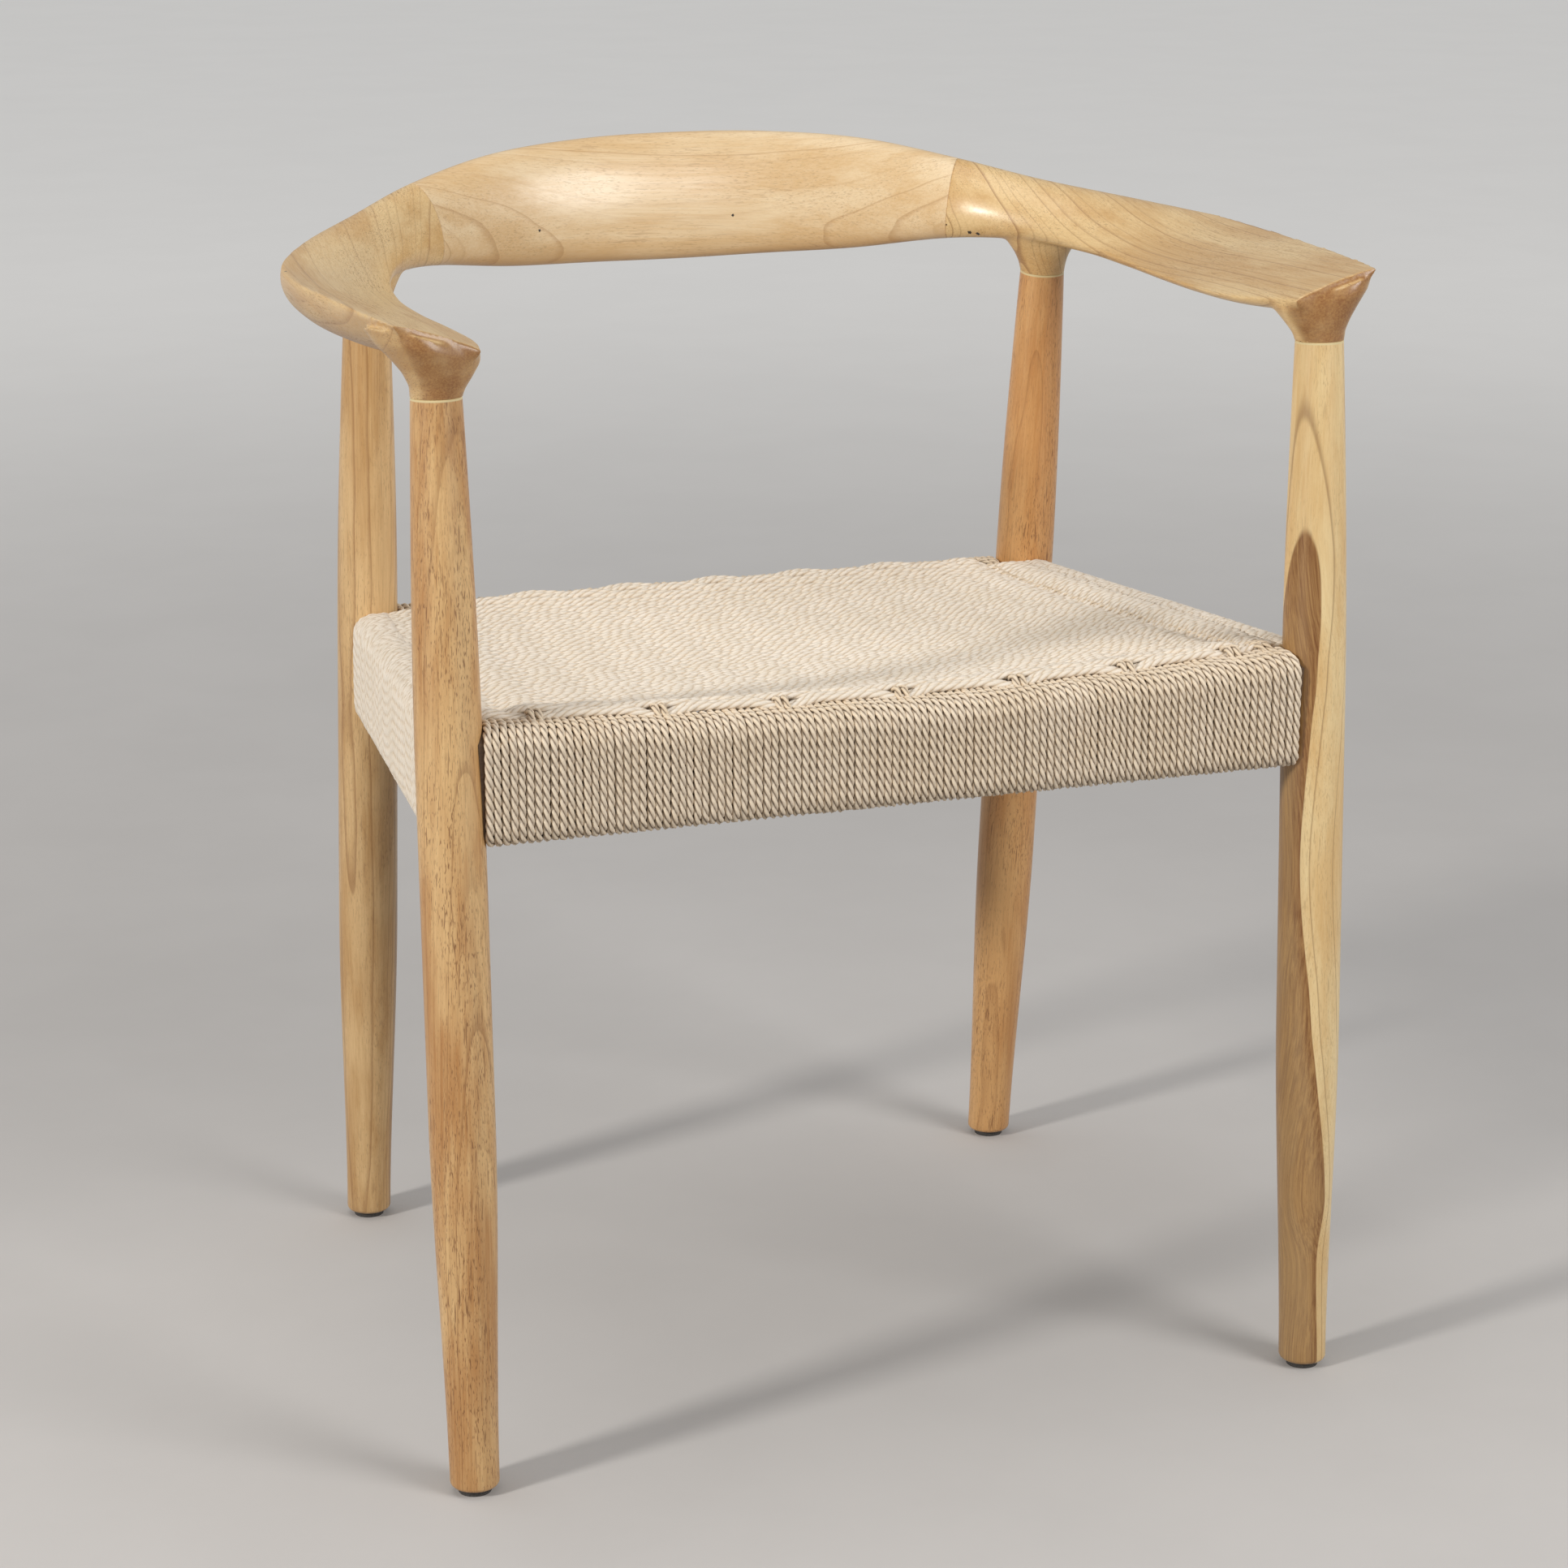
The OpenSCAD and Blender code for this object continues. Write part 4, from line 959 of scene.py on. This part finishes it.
# Every second pair of warps comes up over the first wefts before it goes down into the cloth
warpShape = {"steps": 500, "pastWrap": 6, "drop": 1.3, "overFirst": 0.9, "wrapDrop": 2.3, "halves": (262, 226),
             "lower": (-6, 12), "rise": (-8.5, 7), "sink": (1.5, 6), "rear": (13, -11)}
frontPitch, rearPitch = 2 * frontEnd / seat["frontTurns"], 2 * rearEnd / seat["rearTurns"]
warps = []
for number, x in enumerate(weave["pairs"]):
    firstTurn = round((x + frontEnd) / frontPitch - 1)
    lastTurn = round((x * (1 - weave["narrowing"]) + rearEnd) / rearPitch - 1)
    for k in (0, 1):
        startX = -frontEnd + (firstTurn + k + 0.5) * frontPitch
        endX = -rearEnd + (lastTurn + k + 0.5) * rearPitch
        past = warpShape["pastWrap"]
        ys = np.linspace(frontMidY - past, rearMidY + past, warpShape["steps"])
        fromFront = ys - weave["front"]
        xs = startX + (endX - startX) * np.clip(fromFront / (weave["rear"] - weave["front"]), 0, 1)
        cloth = clothZ(xs, ys, np.interp(ys, [weaveFront, weaveRear], warpShape["halves"]))
        field = cloth - warpShape["drop"]
        wrapZ = seat["frontTop"] - seat["frontDip"] * (1 - (xs / frontEnd) ** 2) - warpShape["wrapDrop"]
        lower, rise, sink = (fade(fromFront, *warpShape[part]) for part in ("lower", "rise", "sink"))
        if number % 2:
            zs = wrapZ + (field - wrapZ) * lower
        else:
            zs = wrapZ + (cloth + warpShape["overFirst"] - wrapZ) * rise
            zs = field + (zs - field) * (1 - sink)
        rearZ = seat["rearTop"] - warpShape["wrapDrop"]
        zs = rearZ + (zs - rearZ) * fade(ys - weave["rear"], *warpShape["rear"])
        warps.append((evenly(np.column_stack([xs, ys, zs]), cord["warpStep"]), alongX, seat["cord"],
                      dice.uniform(0, 2 * math.pi)))
seatWarps = cordPiece("seatWarps", warps, "boldPly")
print("cord laid")


# Paper cord's look: painted shade darkens the plies' grooves and flanks against their crests, with fibres and
# a slightly uneven tone
def makeCordFigure():
    bench, given, end = newFigure("cordFigure", Vector=("Vector",), Float=("Crest", "Strand"),
                                  Color=("Light", "Deep", "Groove shade"))
    fuzz = bench.noise(given["Vector"], (1.3,) * 3, detail=3, roughness=0.6)["Fac"]
    broad = bench.ramp(bench.noise(given["Vector"], (0.03,) * 3)["Fac"], 0.3, 0.7)
    fuzzShare = bench.ramp(fuzz, 0.3, 0.7)
    uneven = bench.calc('ADD', bench.times(given["Strand"], 0.35), bench.times(broad, 0.3))
    tone = bench.calc('ADD', bench.times(fuzzShare, 0.35), uneven)
    base = bench.mix(tone, given["Light"], given["Deep"])
    colour = bench.mix(bench.calc('POWER', given["Crest"], 0.8), given["Groove shade"], base)
    bench.feed(end, {"Color": colour, "Roughness": bench.ramp(fuzz, 0.2, 0.8, 0.62, 0.82),
                     "Height": fuzzShare})
    return bench.tree


cordFigure = makeCordFigure()


def cordMaterial(name, light, deep, grooveShade):
    material, bench = newMaterial(name)
    figure = bench.group(cordFigure, {
        "Vector": bench.place(), "Crest": bench.layer("crest"), "Strand": bench.layer("strand"),
        "Light": paint(light), "Deep": paint(deep), "Groove shade": paint(grooveShade)})
    bench.dress(figure, 0.3, {"Specular IOR Level": 0.35})
    return material


# the last colour is the painted shade in the plies' grooves, deep brown on the tan cord
tanCord = cordMaterial("tanCord", "#F4E4CD", "#E2CCAC", "#5A3B1F")
creamCord = cordMaterial("creamCord", "#F0E6D8", "#E7DBC9", "#CDB595")
for piece, material, node in (
        (frontWrap, tanCord, "front_wrap"), (rearWrap, tanCord, "rear_wrap"),
        (rightWrap, creamCord, "right_wrap"), (leftWrap, creamCord, "left_wrap"),
        (seatWarps, tanCord, "seat_weave"), *((weft, creamCord, "seat_weave") for weft in weftPieces)):
    finishWith(piece, material)
    standFor(piece, node)


# Inner parts that keep the frame's own shapes

def plainFinish(name, colour, dark, roughness, metallic, scale):
    material, bench = newMaterial(name)
    noise = bench.noise(bench.place(1), (scale,) * 3, detail=3)["Fac"]
    bench.dress({"Color": bench.mix(bench.ramp(noise, 0.35, 0.65), paint(colour), paint(dark)),
                 "Roughness": bench.ramp(noise, 0.3, 0.7, roughness, roughness + 0.15),
                 "Height": noise}, 0.2, {"Metallic": metallic})
    return material


# the rails and dowels show only in the slits between cords; their dark wood is painted shade there
shadedInnerLook = {"tone": "inner", "gap": 4, "coat": 0}
innerAcross = woodMaterial("innerWoodAcross", turn=(0, 90, 0), heart=(-400, 120, 0), **shadedInnerLook)
innerAlong = woodMaterial("innerWoodAlong", turn=(90, 0, 6), heart=(80, -400, 0), **shadedInnerLook)
nailSteel = plainFinish("nailSteel", "#B9BBBD", "#8E9093", 0.3, 1.0, 900)
glidePlastic = plainFinish("glidePlastic", "#4A4744", "#35322F", 0.5, 0.0, 1400)
for material, nodes in (
        (innerAcross, ("rail_front", "rail_rear", "splice_dowels_left", "splice_dowels_right")),
        (innerAlong, ("rail_left", "rail_right")),
        (nailSteel, ["cord_nails_" + side for side in ("front", "rear", "left", "right")]),
        (glidePlastic, [node.replace("leg", "glide") for node, *_ in legPlans.values()])):
    for node in nodes:
        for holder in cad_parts[node].material_slots:
            holder.material = material
print("materials laid on")


# Camera, floor and light

shot = {"place": (-829.01, -2347.67, 1107.92), "right": (0.94318, -0.33225, 0.00390),
        "up": (0.09330, 0.27608, 0.95660), "way": (0.31890, 0.90188, -0.29139), "focus": 4945.33,
        "image": 1932, "sensor": 36}
cameraData = bpy.data.cameras.new("camera")
cameraData.sensor_width = shot["sensor"]
cameraData.sensor_fit = 'HORIZONTAL'
cameraData.lens = shot["sensor"] * shot["focus"] / shot["image"]
camera = linked("camera", cameraData)
right, up, way = (Vector(shot[k]).normalized() for k in ("right", "up", "way"))
camera.matrix_world = (Matrix.Translation(Vector(shot["place"]) * mm)
                       @ Matrix((right, up, -way)).transposed().to_4x4())
bpy.context.scene.camera = camera

studio = {
    "floorSize": 40, "floorColour": "#C9C5C1", "floorShade": "#C6C2BE", "floorBounce": "#9C9894",
    "farColour": "#DADAD8", "farLight": 0.47, "farFrom": 0.8, "farFull": 4.2,
    "sky": "#E9EBEE", "skyStrength": 0.46,
}
bpy.ops.object.select_all(action='DESELECT')
bpy.ops.mesh.primitive_plane_add(size=studio["floorSize"])
floor = bpy.context.object
floor.name = "studioFloor"
floorPaint, bench = newMaterial("floorPaint")
place = bench.place(1)
mottle = bench.ramp(bench.noise(place, (5, 5, 5), detail=6, roughness=0.6)["Fac"], 0.3, 0.7)
floorSeen = bench.mix(mottle, paint(studio["floorColour"]), paint(studio["floorShade"]))
rays = bench.node('ShaderNodeLightPath').outputs
floorShader = bench.tree.nodes["Principled BSDF"]
bench.feed(floorShader.inputs, {
    "Base Color": bench.mix(rays["Is Diffuse Ray"], floorSeen, paint(studio["floorBounce"])),
    "Roughness": 0.9, "Specular IOR Level": 0.2})
# the camera and reflections see the floor grow paler far from the chair
far = bench.ramp(bench.vector('LENGTH', place), studio["farFrom"], studio["farFull"])
seen = bench.calc('MAXIMUM', rays["Is Camera Ray"], rays["Is Glossy Ray"])
farGlow = bench.node('ShaderNodeEmission')
bench.feed(farGlow.inputs, {"Color": paint(studio["farColour"]),
                            "Strength": bench.times(bench.times(far, seen), studio["farLight"])})
both = bench.node('ShaderNodeAddShader')
bench.feed(both.inputs, {0: floorShader.outputs[0], 1: farGlow.outputs[0]})
bench.feed(bench.tree.nodes["Material Output"].inputs, {"Surface": both.outputs[0]})
finishWith(floor, floorPaint)

# lamps: place, size, power, height they point at, colour
for name, place, size, power, targetZ, colour in (
        ("keyLamp", (-3.6, -1.15, 1.95), 0.55, 92, 0.45, (1, 0.98, 0.95)),
        ("fillLamp", (1.5, -2.2, 1.75), 1.4, 42, 0.5, (1, 1, 1)),
        ("topLamp", (-0.4, 0.2, 2.6), 1.6, 10, 0.4, (1, 1, 1))):
    lamp = bpy.data.lights.new(name, 'AREA')
    lamp.shape, lamp.size, lamp.energy, lamp.color = 'DISK', size, power, colour
    holder = linked(name, lamp)
    holder.location = place
    aim = Vector((0, 0, targetZ)) - Vector(place)
    holder.rotation_euler = aim.to_track_quat('-Z', 'Y').to_euler()

world = bpy.data.worlds.new("studioSky")
bpy.context.scene.world = world
world.use_nodes = True
bench = Bench(world.node_tree)
skyLight, paleView = world.node_tree.nodes["Background"], bench.node('ShaderNodeBackground')
bench.feed(skyLight.inputs, {"Color": paint(studio["sky"]), "Strength": studio["skyStrength"]})
bench.feed(paleView.inputs, {"Color": paint(studio["farColour"])})
skyMix = bench.node('ShaderNodeMixShader')
bench.feed(skyMix.inputs, {0: bench.node('ShaderNodeLightPath').outputs["Is Camera Ray"],
                           1: skyLight.outputs[0], 2: paleView.outputs[0]})
bench.feed(world.node_tree.nodes["World Output"].inputs, {"Surface": skyMix.outputs[0]})
bpy.context.scene.view_settings.view_transform = 'Standard'

bpy.context.view_layer.update()
print("camera and light set")
